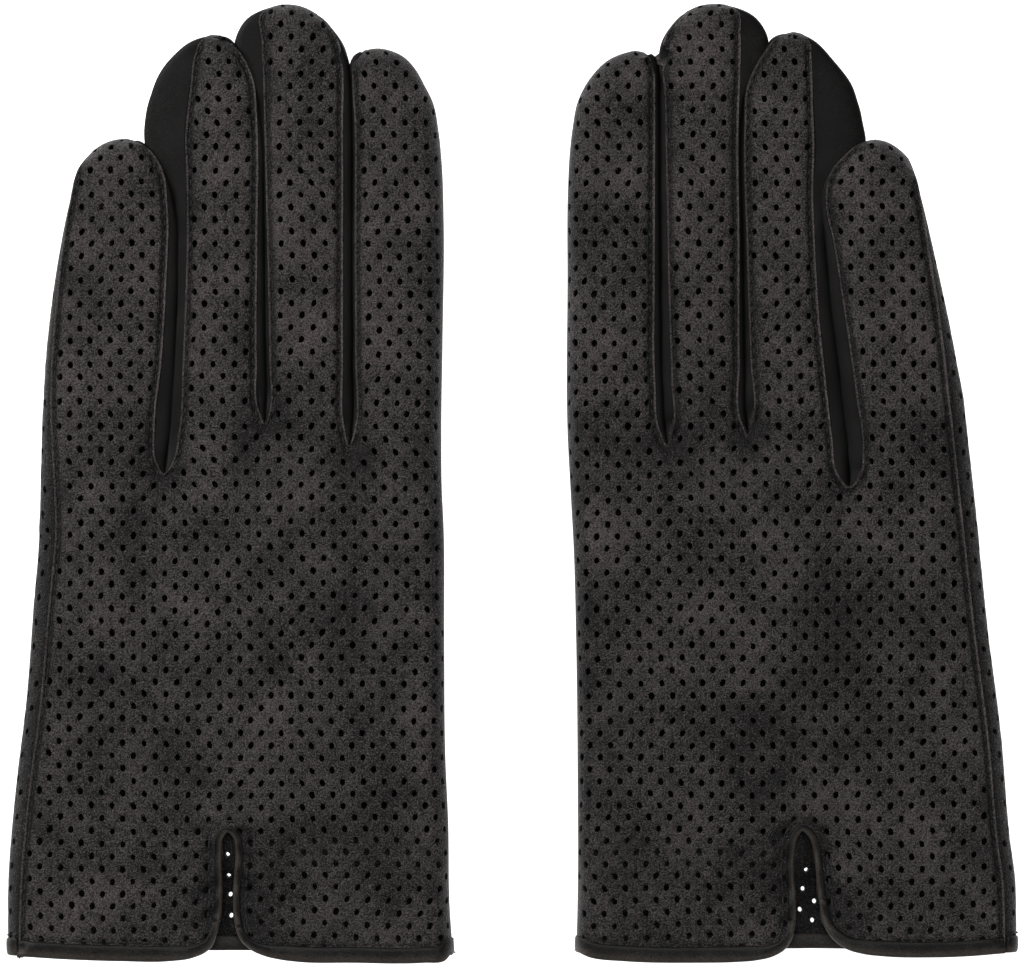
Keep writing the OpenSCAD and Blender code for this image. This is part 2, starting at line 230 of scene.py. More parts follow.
class Edge:
    """The closed edge of a panel, in the plan and on the flat leather."""

    def __init__(self, runs: Sequence[Sequence[Span]], step: float, cut: float | None) -> None:
        """Sample the edge.

        Args:
            runs: chains of spans. Each chain is one smooth curve, and corners lie between chains.
            step: distance between samples.
            cut: the y at which the panel is cut across, where a sample is placed exactly.
        """
        chains: list[Chain] = []
        for run in runs:
            table, names = self.sampled(run, step)
            along = unit(np.gradient(table[:, :2], axis=0))
            outward = np.stack([along[:, 1], -along[:, 0]], axis=1)
            reach = table[:, 3] * (table[:, TURN] - np.sin(table[:, TURN]))
            chain = Chain(table, outward, table[:, :2] + outward * reach[:, None], names)
            if cut is not None:
                chain.cross(cut)
            chains.append(chain)
        for k in reversed(range(len(runs))):
            name = "corner_end" if k == 0 else "corner_start"
            corner = chains[k].corner(chains[(k + 1) % len(runs)], step, name)
            if corner is not None:
                chains.insert(k + 1, corner)
        table = np.concatenate([chain.table for chain in chains])
        self.outward = np.concatenate([chain.outward for chain in chains])
        self.flat = np.concatenate([chain.flat for chain in chains])
        self.plan, self.names = table[:, :2], np.array([name for chain in chains for name in chain.names])
        self.turn, self.radius, self.sunk, self.sewn = table[:, TURN : SEWN + 1].T
        self.length = self.turn * self.radius
        self.crossings = np.nonzero(table[:, CROSSES] > 0)[0]
        gaps = np.linalg.norm(np.diff(self.flat, axis=0, append=self.flat[:1]), axis=1)
        self.arc = np.concatenate([[0.0], np.cumsum(gaps)[:-1]])
        self.rolling = self.turn > 0.02
        self.tree = self.tree_of(np.arange(len(self.flat)))
        self.roll_tree = self.tree_of(np.nonzero(self.rolling)[0])

    @staticmethod
    def sampled(run: Sequence[Span], step: float) -> tuple[Array, list[str]]:
        """Sample one chain of spans.

        Args:
            run: the spans, end to end.
            step: distance between samples.

        Returns:
            Rows of u, y, turn, radius, sunk, sewn and 0, and each row's span name.
        """
        knots: list[tuple[float, float]] = []
        owner: list[tuple[Span, float]] = []
        for span in run:
            knots.extend(span.points if not knots else span.points[1:])
            legs = len(span.points) - 1
            owner.extend((span, k / legs) for k in range(legs))
        samples, interval = curve(knots, step)
        rows: list[tuple[float, ...]] = []
        names: list[str] = []
        for point, i in zip(samples, interval):
            span, share = owner[i]
            legs = len(span.points) - 1
            reached = np.linalg.norm(point - np.array(knots[i]))
            whole = max(np.linalg.norm(np.subtract(knots[i + 1], knots[i])), 1e-6)
            row = (point[0], point[1], *span.at(share + min(reached / whole, 1.0) / legs), 0.0)
            rows.append(row)
            names.append(span.name)
        table = np.array(rows)
        for _ in range(EASINGS):
            padded = np.pad(table[:, TURN : SEWN + 1], ((1, 1), (0, 0)), "edge")
            table[:, TURN : SEWN + 1] = (padded[:-2] + 2 * padded[1:-1] + padded[2:]) / 4
        return table, names

    def tree_of(self, numbers: Array) -> KDTree:
        """Search tree of some of the samples."""
        tree = KDTree(max(len(numbers), 1))
        for i in numbers:
            tree.insert((self.flat[i, 0], self.flat[i, 1], 0.0), int(i))
        tree.balance()
        return tree

    def nearest(self, points: Array, rolled: bool = False) -> dict[str, Array]:
        """Find each flat point's nearest place on the edge.

        Args:
            points: flat points, one a row.
            rolled: whether only the rolled parts of the edge count.

        Returns:
            The distance, the inward direction, the owner's number and the edge's values there.
        """
        tree = self.roll_tree if rolled else self.tree
        i = np.array([tree.find((p[0], p[1], 0.0))[1] for p in points])
        n = len(self.flat)
        best: dict[str, Array] = {}
        before, after = (i - 1) % n, (i + 1) % n
        if rolled:
            before, after = (self.next_rolling(i, other) for other in (before, after))
        for a, b in ((before, i), (i, after)):
            base, run = self.flat[a], self.flat[b] - self.flat[a]
            t = np.clip(((points - base) * run).sum(1) / np.maximum((run**2).sum(1), 1e-12), 0, 1)
            away = points - base - run * t[:, None]
            far = np.linalg.norm(away, axis=1)
            found = {"distance": far, "away": away, "a": a, "b": b, "t": t}
            if not best:
                best = found
            else:
                nearer = far < best["distance"]
                for key, old in best.items():
                    pick = nearer[:, None] if old.ndim == 2 else nearer
                    best[key] = np.where(pick, found[key], old)
        a, b, t = best["a"], best["b"], best["t"]
        flat_in = -unit(mix(self.outward[a], self.outward[b], t[:, None]))
        straight = best["distance"] < 0.02
        if rolled:
            ends = self.rolling & ~(np.roll(self.rolling, 1) & np.roll(self.rolling, -1))
            at_end = ends[np.where(t < 0.5, a, b)] & ((t <= 0) | (t >= 1)) & (self.turn[a] > 0.5)
            level = (best["away"] * flat_in).sum(1)
            square = at_end | ((level < 0) & (best["distance"] < 1.0))
            best["distance"] = np.where(square, np.maximum(level, 0.0), best["distance"])
            straight |= square
        best["inward"] = np.where(straight[:, None], flat_in, unit(best["away"]))
        for key in ("turn", "radius", "sunk", "sewn", "length", "arc"):
            values = getattr(self, key)
            other = values[b] if key != "arc" else np.where(b == 0, self.arc[a] + 1.0, self.arc[b])
            best[key] = mix(values[a], other, t)
        best["owner"] = np.where(t < 0.5, a, b)
        return best

    def next_rolling(self, own: Array, other: Array) -> Array:
        """The other sample, or the own one where the other isn't rolling or is across a gap."""
        apart = np.linalg.norm(self.flat[other] - self.flat[own], axis=1)
        return np.where(self.rolling[other] & (apart <= REACH_PAST), other, own)

    def holds(self, points: Array) -> Array:
        """True for each flat point inside the edge."""
        inside = np.zeros(len(points), bool)
        ends = np.roll(self.flat, -1, 0)
        for (x0, y0), (x1, y1) in zip(self.flat, ends):
            if y0 != y1:
                crosses = (y0 > points[:, 1]) != (y1 > points[:, 1])
                inside ^= crosses & (points[:, 0] < (x1 - x0) * (points[:, 1] - y0) / (y1 - y0) + x0)
        return inside

    def samples(self, *names: str) -> Array:
        """Numbers of the samples that belong to the named spans, in order along the edge."""
        return np.nonzero(np.isin(self.names, names))[0]


@dataclass(frozen=True)
class Form:
    """Heights in mm over the plan that a panel is laid on: its own face, the roll's middle and beyond."""

    own: Callable[[Array], Array]
    middle: Callable[[Array], Array]
    beyond: Callable[[Array], Array]
    up: float


@dataclass
class Punch:
    """Pattern of the punched holes, in mm."""

    pitch: float = 5.25
    row: float = 3.05
    start: tuple[float, float] = (0.0, 17.0)
    half_width: float = 0.68
    half_height: float = 0.88
    clear: float = 1.7
    sides: int = 12
    drift: float = 1.6
    spared: tuple[float, float, float] | None = None
    extra: tuple[tuple[float, float], ...] = ()
    extra_size: float = 0.62
    collar: float = 0.32


class Draft:
    """Flat points and lines of one panel, collected before it is triangulated."""

    def __init__(self, outline: Array) -> None:
        """Start from the panel's closed outline."""
        self.points = [outline]
        self.kinds = [np.full(len(outline), ON_EDGE)]
        self.count = len(outline)
        pairs = ((i, (i + 1) % len(outline)) for i in range(len(outline)))
        self.loops = [(a, b) for a, b in pairs if np.linalg.norm(outline[a] - outline[b]) > 1e-6]

    def add(self, points: Array, kind: int) -> int:
        """Add points of one kind, and give the first one's number."""
        first = self.count
        self.points.append(points)
        self.kinds.append(np.full(len(points), kind))
        self.count += len(points)
        return first

    def triangulate(self, edge: Edge) -> tuple[Array, Array, Array]:
        """Join the points by triangles, and drop those in the holes and outside the edge.

        Args:
            edge: the panel's edge.

        Returns:
            The flat points, their kinds and the triangles, all turning the same way.
        """
        points, kinds = np.concatenate(self.points), np.concatenate(self.kinds)
        result = delaunay_2d_cdt([Vector(p) for p in points], self.loops, [], 0, 1e-6, True)
        flat = np.array([tuple(v) for v in result[0]])
        kind = kinds[np.array([ids[0] if ids else 0 for ids in result[3]])]
        triangles = np.array(result[2])
        three = kind[triangles]
        same = (three[:, 0] == three[:, 1]) & (three[:, 1] == three[:, 2])
        drop = same & (three[:, 0] >= 0)
        rim = same & (three[:, 0] == ON_EDGE)
        drop[rim] = ~edge.holds(flat[triangles[rim]].mean(1))
        triangles = triangles[~drop]
        a, b, c = (flat[triangles[:, k]] for k in range(3))
        area = (b - a)[:, 0] * (c - a)[:, 1] - (b - a)[:, 1] * (c - a)[:, 0]
        triangles[area < 0] = triangles[area < 0][:, ::-1]
        return flat, kind, triangles


@dataclass
class Panel:
    """One cut piece of leather: its edge, its form and its holes."""

    edge: Edge
    form: Form
    punch: Punch | None
    pulls: tuple[tuple[float, float], ...] = ()
    vent: tuple[tuple[float, float], ...] = ()
    seed: float = 0.0
    thickness: float = 0.8
    fingered: bool = False
    rows: tuple[float, ...] = (0.3, 0.65, 1.0, 1.4, 1.9, 2.5)

    def place(self, flat: Array, dip: Array | None = None) -> Array:
        """Roll flat leather over the form.

        Args:
            flat: points on the flat leather.
            dip: how far each point is pressed in, in mm.

        Returns:
            The outer face's points (u, y, z) in mm.
        """
        near = self.edge.nearest(flat)
        turn, plan = np.zeros(len(flat)), flat
        if self.edge.rolling.any():
            roll = self.edge.nearest(flat, True)
            distance, length, radius = roll["distance"], roll["length"], roll["radius"]
            rolled = distance < length
            turn = np.where(rolled, roll["turn"] * (1 - distance / np.maximum(length, 1e-6)), 0.0)
            shift = np.where(rolled, length - distance - radius * np.sin(turn), 0.0)
            plan = flat + roll["inward"] * shift[:, None]
        own, middle, beyond = (f(plan) for f in (self.form.own, self.form.middle, self.form.beyond))
        cosine = np.cos(turn)
        z = middle + np.where(cosine > 0, (own - middle) * cosine, (middle - beyond) * cosine)
        relief = self.relief(plan, near)
        if dip is not None:
            relief = relief - dip
        return np.column_stack([plan, z + self.form.up * relief * np.maximum(cosine, 0.15)])

    def relief(self, plan: Array, near: dict[str, Array]) -> Array:
        """Height that the leather stands proud of its form: lips, stitch furrows, gathers and folds.

        Args:
            plan: points in the plan.
            near: what Edge.nearest gives for them.

        Returns:
            The height of each point in mm.
        """
        d, sunk = near["distance"], near["sunk"]
        # Along a seam: a raised lip at the raw edge, a furrow under the thread that is deepest at
        # each stitch, a pucker beside it, and the crown of the leather falling away to the edge.
        stitch = 0.5 + 0.5 * np.cos(2 * math.pi * near["arc"] / SEAM_PITCH)
        furrow = np.exp(-(((d - near["sewn"]) / 0.45) ** 2)) * (0.5 + 0.3 * stitch)
        pucker = 0.2 * np.exp(-(((d - near["sewn"] - 1.5) / 1.1) ** 2)) * (stitch - 0.5)
        crown = 1.6 * np.exp(-d / 3.4)
        lip = 0.3 * np.exp(-((d / 0.4) ** 2))
        out = sunk * (lip - furrow + pucker - crown)
        # Everywhere: broad, middling and small lumps, and fine creases that run across the hand.
        out += 0.6 * rumple(plan, 34.0, self.seed) + 0.36 * rumple(plan, 13.0, self.seed + 5)
        out += 0.1 * rumple(plan, 4.5, self.seed + 9)
        stretched = np.column_stack([plan[:, 0] / 2.2 + plan[:, 1] / 9, plan[:, 1] / 1.0])
        out += 0.2 * rumple(stretched, 5.0, self.seed + 17)
        # Round each finger fork: folds that fan out, a little differently at each.
        for k, (u, y) in enumerate(self.pulls):
            away = plan - (u, y)
            r = np.linalg.norm(away, axis=1)
            angle = np.arctan2(away[:, 1], away[:, 0])
            rays = np.sin(angle * (8 + k % 2) + 1.7 * k) + 0.5 * np.sin(angle * 15 + k)
            out += 0.5 * np.exp(-r / 9.5) * smooth(r / 3.0) * rays
        if self.vent:
            # Beside the vent: slanting ripples in a shallow hollow.
            top = self.vent[0]
            side = self.from_vent(plan)
            level = smooth((top[1] + 4 - plan[:, 1]) / 6) * np.exp(-(((side - 5.5) / 3.6) ** 2))
            wave = np.sin(2 * math.pi * (plan[:, 1] + 0.55 * side) / 7.5 + 2 * rumple(plan, 9.0, 3.0))
            out += level * (0.5 * wave - 0.35)
        return out

    def from_vent(self, points: Array) -> Array:
        """Distance of each point from the middle line of the vent, straight across the glove."""
        top, bottom = self.vent
        down = (top[1] - points[:, 1]) / (top[1] - bottom[1])
        return np.abs(points[:, 0] - mix(top[0], bottom[0], down))

    def wear(self, flat: Array) -> Array:
        """How rubbed the leather is, with painted light and shade: 0 in furrows and folds, where shade is
        painted, to 1 on raised raw edges, where a highlight is painted.
        """
        near = self.edge.nearest(flat)
        d, sunk = near["distance"], near["sunk"]
        out = 0.5 + 0.42 * rumple(flat, 24.0, self.seed + 3) + 0.3 * rumple(flat, 9.0, self.seed + 4)
        out += 0.12 * rumple(np.column_stack([flat[:, 0] * 2.4, flat[:, 1]]), 6.0, self.seed + 6)
        # Painted highlight over the fingers' tops, away from their edges.
        out += 0.14 * smooth((flat[:, 1] - 5) / 30) * smooth(d / 5)
        # Painted shade in the stitch furrows.
        out -= 0.6 * sunk * np.exp(-(((d - near["sewn"]) / 0.7) ** 2))
        # Painted highlight on the raised raw edges.
        out += 1.1 * (sunk > 0.6) * np.exp(-((d / 0.4) ** 2))
        # Painted shade where the leather rolls down over the sides.
        if self.edge.rolling.any():
            roll = self.edge.nearest(flat, True)
            bent = np.clip(1 - roll["distance"] / np.maximum(roll["length"], 1e-6), 0, 1)
            out -= 0.45 * smooth(bent * 1.6)
        # Painted shade round each finger fork.
        for u, y in self.pulls:
            out -= 0.4 * np.exp(-(((flat - (u, y)) ** 2).sum(1)) / 30.0)
        # Painted shade in the hollow beside the vent.
        if self.vent:
            top = self.vent[0]
            side = self.from_vent(flat)
            out -= 0.45 * smooth((top[1] + 3 - flat[:, 1]) / 5) * np.exp(-(((side - 4.5) / 3.2) ** 2))
        return np.clip(out, 0.0, 1.0)

    def surface(self, flat: Array) -> tuple[Array, Array]:
        """Points of the outer face and its outward normals at flat points."""
        step = 0.15
        here = self.place(flat)
        du = self.place(flat + (step, 0)) - here
        dy = self.place(flat + (0, step)) - here
        return here, unit(np.cross(du, dy)) * self.form.up

    def inset(self, numbers: Array, distance: Array | float) -> Array:
        """Flat points that lie inward from the numbered edge samples by a distance in mm."""
        return self.edge.flat[numbers] - self.edge.outward[numbers] * np.reshape(distance, (-1, 1))

    def cut(self) -> dict[str, "Sheet"]:
        """Triangulate the panel, punch it and roll it.

        Returns:
            A sheet for the hand ("hand"), and one for each finger whose edge lies above the cut.
        """
        edge = self.edge
        low, high = edge.flat.min(0), edge.flat.max(0)
        centres = self.lattice(low, high)
        draft = Draft(edge.flat)
        self.draw_cut(draft)
        self.draw_rows(draft, centres)
        self.draw_holes(draft, centres)
        draft.add(self.fill(low, high, centres), FREE)
        flat, kind, triangles = draft.triangulate(edge)
        outer = self.place(flat, np.where(kind >= 0, 0.16, 0.0))
        inner = outer - corner_normals(outer, triangles) * self.form.up * self.thickness
        wear = self.wear(flat)
        label = self.owners(flat[triangles].mean(1))
        return {
            str(name): Sheet(outer, inner, triangles[label == name], self.form.up > 0, wear)
            for name in np.unique(label)
        }

    def draw_cut(self, draft: "Draft") -> None:
        """Draw the line across each finger at which it parts from the hand."""
        if not self.fingered:
            return
        edge = self.edge
        order = edge.crossings[np.argsort(edge.flat[edge.crossings, 0])]
        for a, b in zip(order[::2], order[1::2]):
            u0, u1 = edge.flat[a, 0], edge.flat[b, 0]
            line = np.linspace(u0, u1, max(int(u1 - u0), 2) + 1)[1:-1]
            first = draft.add(np.column_stack([line, np.full(len(line), KNUCKLE_Y)]), FREE)
            chain = [a, *range(first, first + len(line)), b]
            draft.loops.extend(zip(chain[:-1], chain[1:]))

    def draw_rows(self, draft: "Draft", centres: Array) -> None:
        """Draw close rows of points along the edge, where seams need fine relief."""
        edge = self.edge
        for inset in self.rows:
            row = edge.flat - edge.outward * inset
            near = edge.nearest(row)["distance"]
            keep = (near > inset * 0.93) & edge.holds(row) & self.beside(row, centres, 1.3)
            if self.fingered:
                keep &= np.abs(row[:, 1] - KNUCKLE_Y) > 0.35
            draft.add(row[keep], FREE)

    def draw_holes(self, draft: "Draft", centres: Array) -> None:
        """Draw each hole's rim, which leans and varies in size, and a ring of points round it."""
        shape = self.punch
        if shape is None or not len(centres):
            return
        angles = np.arange(shape.sides) * 2 * math.pi / shape.sides
        half = math.pi / shape.sides
        spread = np.column_stack([np.cos(angles + half), np.sin(angles + half)])
        for number, centre in enumerate(centres):
            lean = 0.5 * noise.noise(Vector((centre[0] / 14, centre[1] / 14, self.seed)))
            size = 1.0 + 0.2 * noise.noise(Vector((centre[0] / 3, centre[1] / 3, self.seed)))
            if number >= len(centres) - len(shape.extra):
                size = shape.extra_size
            x, y = np.cos(angles) * (shape.half_width * size), np.sin(angles) * (shape.half_height * size)
            first = draft.add(centre + np.column_stack([x + lean * y, y]), number)
            draft.loops.extend((first + k, first + (k + 1) % shape.sides) for k in range(shape.sides))
            ring = spread * (shape.half_width + shape.collar, shape.half_height + shape.collar)
            draft.add(centre + ring, FREE)

    def owners(self, middles: Array) -> Array:
        """Name of the finger, or "hand", that each triangle's middle belongs to."""
        if not self.fingered:
            return np.full(len(middles), "hand")
        owner = self.edge.names[self.edge.nearest(middles)["owner"]]
        label = np.array([name.split("_")[0] for name in owner])
        label[np.char.startswith(owner, "side")] = "little"
        label[middles[:, 1] < KNUCKLE_Y] = "hand"
        return label

    def lattice(self, low: Array, high: Array) -> Array:
        """Place the holes, clear of every edge.

        Args:
            low: lowest corner of the flat panel.
            high: its highest corner.

        Returns:
            The holes' centres, with the extra ones last.
        """
        shape = self.punch
        if shape is None:
            return np.zeros((0, 2))
        rows = np.arange(math.floor((low[1] - shape.start[1]) / shape.row), 90)
        found = []
        for r in rows:
            y = shape.start[1] + r * shape.row
            if y > high[1]:
                break
            shift = shape.start[0] + (r % 2) * shape.pitch / 2
            first = math.floor((low[0] - shift) / shape.pitch)
            for k in range(first, first + int((high[0] - low[0]) / shape.pitch) + 2):
                jitter = 0.16 * noise.noise(Vector((k * 3.1, r * 2.7, self.seed)))
                found.append((shift + k * shape.pitch + jitter, y + 0.5 * jitter))
        centres = np.array(found)
        calm = smooth(np.abs(centres[:, 1] - KNUCKLE_Y) / 9.0)
        drift = np.column_stack([rumple(centres, 38.0, 2.5), rumple(centres, 38.0, 8.5) * calm])
        centres = centres + shape.drift * drift
        centres = centres[self.edge.holds(centres)]
        near = self.edge.nearest(centres)
        centres = centres[near["distance"] > shape.clear + 1.6 * (near["sewn"] > 3.0)]
        if shape.spared is not None:
            middle, half, highest = shape.spared
            beside = (np.abs(centres[:, 0] - middle) > half) | (centres[:, 1] > highest)
            centres = np.concatenate([centres[beside], np.array(shape.extra)])
        return centres

    def fill(self, low: Array, high: Array, centres: Array) -> Array:
        """Place points between the holes and clear of the edge, for smooth relief.

        Args:
            low: lowest corner of the flat panel.
            high: its highest corner.
            centres: the holes' centres.

        Returns:
            The points.
        """
        gap = 1.3
        rows = np.arange(low[1], high[1], gap * 0.866)
        columns = np.arange(low[0], high[0], gap)
        grid = np.array([(x + (k % 2) * gap / 2, y) for k, y in enumerate(rows) for x in columns])
        grid = grid[self.edge.holds(grid)]
        grid = grid[self.edge.nearest(grid)["distance"] > 3.1]
        if self.fingered:
            grid = grid[np.abs(grid[:, 1] - KNUCKLE_Y) > 0.55]
        return grid[self.beside(grid, centres, 1.75)]

    def beside(self, points: Array, centres: Array, gap: float) -> Array:
        """True for each point that is farther than the gap from every hole's centre."""
        if not len(centres) or not len(points):
            return np.ones(len(points), bool)
        tree = KDTree(len(centres))
        for i, c in enumerate(centres):
            tree.insert((c[0], c[1], 0.0), i)
        tree.balance()
        return np.array([tree.find((p[0], p[1], 0.0))[2] > gap for p in points])


@dataclass
class Sheet:
    """A rolled piece of leather: shared outer and inner points, and this piece's own triangles."""

    outer: Array
    inner: Array
    triangles: Array
    faces_up: bool
    wear: Array

    def shell(self) -> tuple[Array, Faces, Array]:
        """Closed shell with its own walls round each edge and hole.

        Returns:
            The points in mm, the faces, which point outwards on a right glove, and each point's wear with its
            painted light and shade, darker as painted shade on the inner face and the walls.
        """
        used, back = np.unique(self.triangles, return_inverse=True)
        triangles = back.reshape(-1, 3)
        size = len(used)
        top = triangles if self.faces_up else triangles[:, ::-1]
        pairs = np.concatenate([top[:, [0, 1]], top[:, [1, 2]], top[:, [2, 0]]])
        key = pairs[:, 0] * size + pairs[:, 1]
        other = pairs[:, 1] * size + pairs[:, 0]
        rim = pairs[~np.isin(key, other)]
        corners = np.unique(rim)
        place = np.full(size, -1)
        place[corners] = np.arange(len(corners))
        points = [self.outer[used], self.inner[used], self.outer[used][corners], self.inner[used][corners]]
        faces: Faces = [tuple(t) for t in top.tolist()]
        faces += [tuple(t) for t in (top[:, ::-1] + size).tolist()]
        first, second = 2 * size, 2 * size + len(corners)
        a, b = place[rim[:, 0]], place[rim[:, 1]]
        walls = np.column_stack([first + b, first + a, second + a, second + b])
        faces += [tuple(w) for w in walls.tolist()]
        # Painted shade: the inner face and the walls round the edges and holes are made darker than the outer
        # face.
        worn_and_lit = self.wear[used]
        cut = np.minimum(worn_and_lit[corners], 0.6) * 0.5
        return np.concatenate(points), faces, np.concatenate([worn_and_lit, 0.2 * worn_and_lit, cut, 0.5 * cut])


def loft(rows: Array, closed_section: bool, closed_path: bool) -> tuple[Array, Faces]:
    """Skin over rows of points.

    Args:
        rows: points shaped (rows, points in a row, 3).
        closed_section: whether each row is a loop.
        closed_path: whether the last row joins the first.

    Returns:
        The points and the faces.
    """
    count, width = rows.shape[:2]
    faces = []
    for i in range(count if closed_path else count - 1):
        j = (i + 1) % count
        for k in range(width if closed_section else width - 1):
            m = (k + 1) % width
            faces.append((i * width + k, j * width + k, j * width + m, i * width + m))
    if closed_section and not closed_path:
        faces.append(tuple(range(width)))
        faces.append(tuple(reversed(range((count - 1) * width, count * width))))
    return rows.reshape(-1, 3), faces


# ---------------------------------------------------------------- finishes


class Socket:
    """An output socket that takes Python's own operators."""

    def __init__(self, tree: bpy.types.NodeTree, out: bpy.types.NodeSocket) -> None:
        """Wrap a socket of a node tree."""
        self.tree, self.out = tree, out

    def _maths(self, kind: str, first: Any, second: Any) -> "Socket":
        """Math node of two values."""
        node = self.tree.nodes.new("ShaderNodeMath")
        node.operation = kind
        for slot, value in zip(node.inputs, (first, second)):
            if isinstance(value, Socket):
                self.tree.links.new(value.out, slot)
            else:
                slot.default_value = value
        return Socket(self.tree, node.outputs[0])

    def __add__(self, other: Any) -> "Socket":
        """Sum."""
        return self._maths("ADD", self, other)

    __radd__ = __add__

    def __mul__(self, other: Any) -> "Socket":
        """Product."""
        return self._maths("MULTIPLY", self, other)

    __rmul__ = __mul__

    def __sub__(self, other: Any) -> "Socket":
        """Difference."""
        return self._maths("SUBTRACT", self, other)

    def __rsub__(self, other: Any) -> "Socket":
        """Difference, the other way round."""
        return self._maths("SUBTRACT", other, self)


class Workbench:
    """A material's nodes, made one after another."""

    def __init__(self, name: str) -> None:
        """Start an empty material of that name."""
        self.material = bpy.data.materials.new(name)
        self.material.use_nodes = True
        self.tree = self.material.node_tree
        self.tree.nodes.clear()
        self.end = self.tree.nodes.new("ShaderNodeOutputMaterial")

    def node(self, kind: str, settings: dict[str, Any], values: dict[str, Any], out: Any = 0) -> Socket:
        """Add a node.

        Args:
            kind: Blender's name of the node type.
            settings: the node's own settings, which are set first.
            values: numbers, colours or sockets for its inputs, by name.
            out: the output wanted, by name or number.

        Returns:
            That output.
        """
        made = self.tree.nodes.new(kind)
        for key, value in settings.items():
            if key == "stops":
                for stop, (at, colour) in zip(made.color_ramp.elements, value):
                    stop.position, stop.color = at, colour
            else:
                setattr(made, key, value)
        for key, value in values.items():
            slot = made.inputs[key]
            if isinstance(value, Socket):
                self.tree.links.new(value.out, slot)
            else:
                slot.default_value = value
        return Socket(self.tree, made.outputs[out])

    def place(self) -> Socket:
        """The point's place on the object."""
        return self.node("ShaderNodeTexCoord", {}, {}, "Object")

    def noise(self, scale: float, detail: float, rough: float = 0.55) -> Socket:
        """Cloudy pattern of so many lumps a metre."""
        values = {"Vector": self.place(), "Scale": scale, "Detail": detail, "Roughness": rough}
        return self.node("ShaderNodeTexNoise", {}, values)

    def colour(self, share: Socket, first: tuple[float, ...], second: tuple[float, ...]) -> Socket:
        """Mix of two colours."""
        stops = [(0.3, (*first, 1.0)), (0.8, (*second, 1.0))]
        return self.node("ShaderNodeValToRGB", {"stops": stops}, {"Fac": share})

    def finish(self, values: dict[str, Any]) -> bpy.types.Material:
        """Close the material with a Principled shader of these values."""
        shader = self.node("ShaderNodeBsdfPrincipled", {}, values)
        self.tree.links.new(shader.out, self.end.inputs["Surface"])
        return self.material


@dataclass(frozen=True)
class Leather:
    """A leather finish: colours, grain and gloss."""

    name: str
    dark: tuple[float, float, float]
    light: tuple[float, float, float]
    grain: float
    depth: float
    gloss: float
    specular: float
    # How strongly the wear and its painted light and shade tell in the colour.
    rub: float
    # How strongly the grain's specks lighten the colour, partly as real flecks and partly as painted glints.
    fleck: float
    offset: float

    def make(self) -> bpy.types.Material:
        """Build the material: pebbled cells, creases between them, uneven dye, light specks that are partly
        painted glints, and the mesh's wear with its painted light and shade.
        """
        bench = Workbench(self.name)
        place = bench.place()
        cells, fine = (
            bench.node("ShaderNodeTexVoronoi", {"feature": "F1"}, {"Vector": place, "Scale": scale}, "Distance")
            for scale in (self.grain, self.grain * 2.3)
        )
        cloud = bench.noise(95.0, 4.0)
        speck = bench.noise(2400.0, 3.0, 0.72)
        crease = bench.noise(560.0, 5.0, 0.65)
        height = (1.0 - cells) * 0.9 + (1.0 - fine) * 0.4 + crease * 1.2 + speck * 0.5
        bump = bench.node(
            "ShaderNodeBump", {}, {"Strength": self.depth, "Distance": 0.0003, "Height": height}, "Normal"
        )
        # The wear that each mesh carries, with its painted highlights and shade.
        wear = bench.node("ShaderNodeAttribute", {"attribute_name": "wear"}, {}, "Fac")
        # The specks lighten the colour partly as flecks of the grain and partly as painted glints of its
        # pebbles.
        mottle_and_glint = cloud * 0.2 + speck * self.fleck + crease * 0.3 - cells * 0.25
        tone = wear * self.rub + mottle_and_glint - self.offset
        roughness = cells * 0.12 + cloud * 0.14 + wear * 0.06 + (self.gloss - 0.15)
        return bench.finish(
            {
                "Base Color": bench.colour(tone, self.dark, self.light),
                "Roughness": roughness,
                "Specular IOR Level": self.specular,
                "Normal": bump,
            }
        )


@dataclass(frozen=True)
class Thread:
    """Waxed black sewing thread with a twist."""

    name: str
    dark: tuple[float, float, float]
    light: tuple[float, float, float]

    def make(self) -> bpy.types.Material:
        """Build the material: two twisted plies as fine slanting bands."""
        bench = Workbench(self.name)
        turned = bench.node(
            "ShaderNodeMapping", {}, {"Vector": bench.place(), "Rotation": (0.3, 0.2, math.radians(38))}
        )
        plies = bench.node(
            "ShaderNodeTexWave", {}, {"Vector": turned, "Scale": 900.0, "Distortion": 1.5, "Detail": 2.0}
        )
        fuzz = bench.noise(2600.0, 3.0)
        height = plies * 0.8 + fuzz * 0.4
        bump = bench.node("ShaderNodeBump", {}, {"Strength": 0.5, "Distance": 0.00012, "Height": height})
        return bench.finish(
            {
                "Base Color": bench.colour(plies * 0.6 + fuzz * 0.4, self.dark, self.light),
                "Roughness": fuzz * 0.2 + 0.5,
                "Specular IOR Level": 0.35,
                "Sheen Weight": 0.1,
                "Normal": bump,
            }
        )


class Finish(Enum):
    """The four finishes of the record's material slots."""

    PERFORATED = "perforated_leather"
    PLAIN = "plain_leather"
    BINDING = "binding_leather"
    THREAD = "thread"


# Each leather's light colour shows where painted highlights and the most rubbed leather lie, its dark colour
# where painted shade lies.
FINISHES: dict[Finish, Leather | Thread] = {
    Finish.PERFORATED: Leather(
        "Pebbled charcoal nappa", dark=(0.0035, 0.0032, 0.0032), light=(0.175, 0.148, 0.144),
        grain=2300.0, depth=1.0, gloss=0.52, specular=0.36, rub=0.34, fleck=1.5, offset=0.62,
    ),
    Finish.PLAIN: Leather(
        "Smooth black nappa", dark=(0.0040, 0.0036, 0.0034), light=(0.060, 0.051, 0.044),
        grain=2300.0, depth=0.12, gloss=0.52, specular=0.18, rub=0.65, fleck=0.2, offset=0.14,
    ),
    Finish.BINDING: Leather(
        "Brown-black folded binding", dark=(0.0042, 0.0037, 0.0034), light=(0.085, 0.071, 0.060),
        grain=2300.0, depth=0.2, gloss=0.48, specular=0.32, rub=0.5, fleck=0.3, offset=0.15,
    ),
    Finish.THREAD: Thread("Waxed black thread", (0.006, 0.006, 0.006), (0.040, 0.038, 0.037)),
}


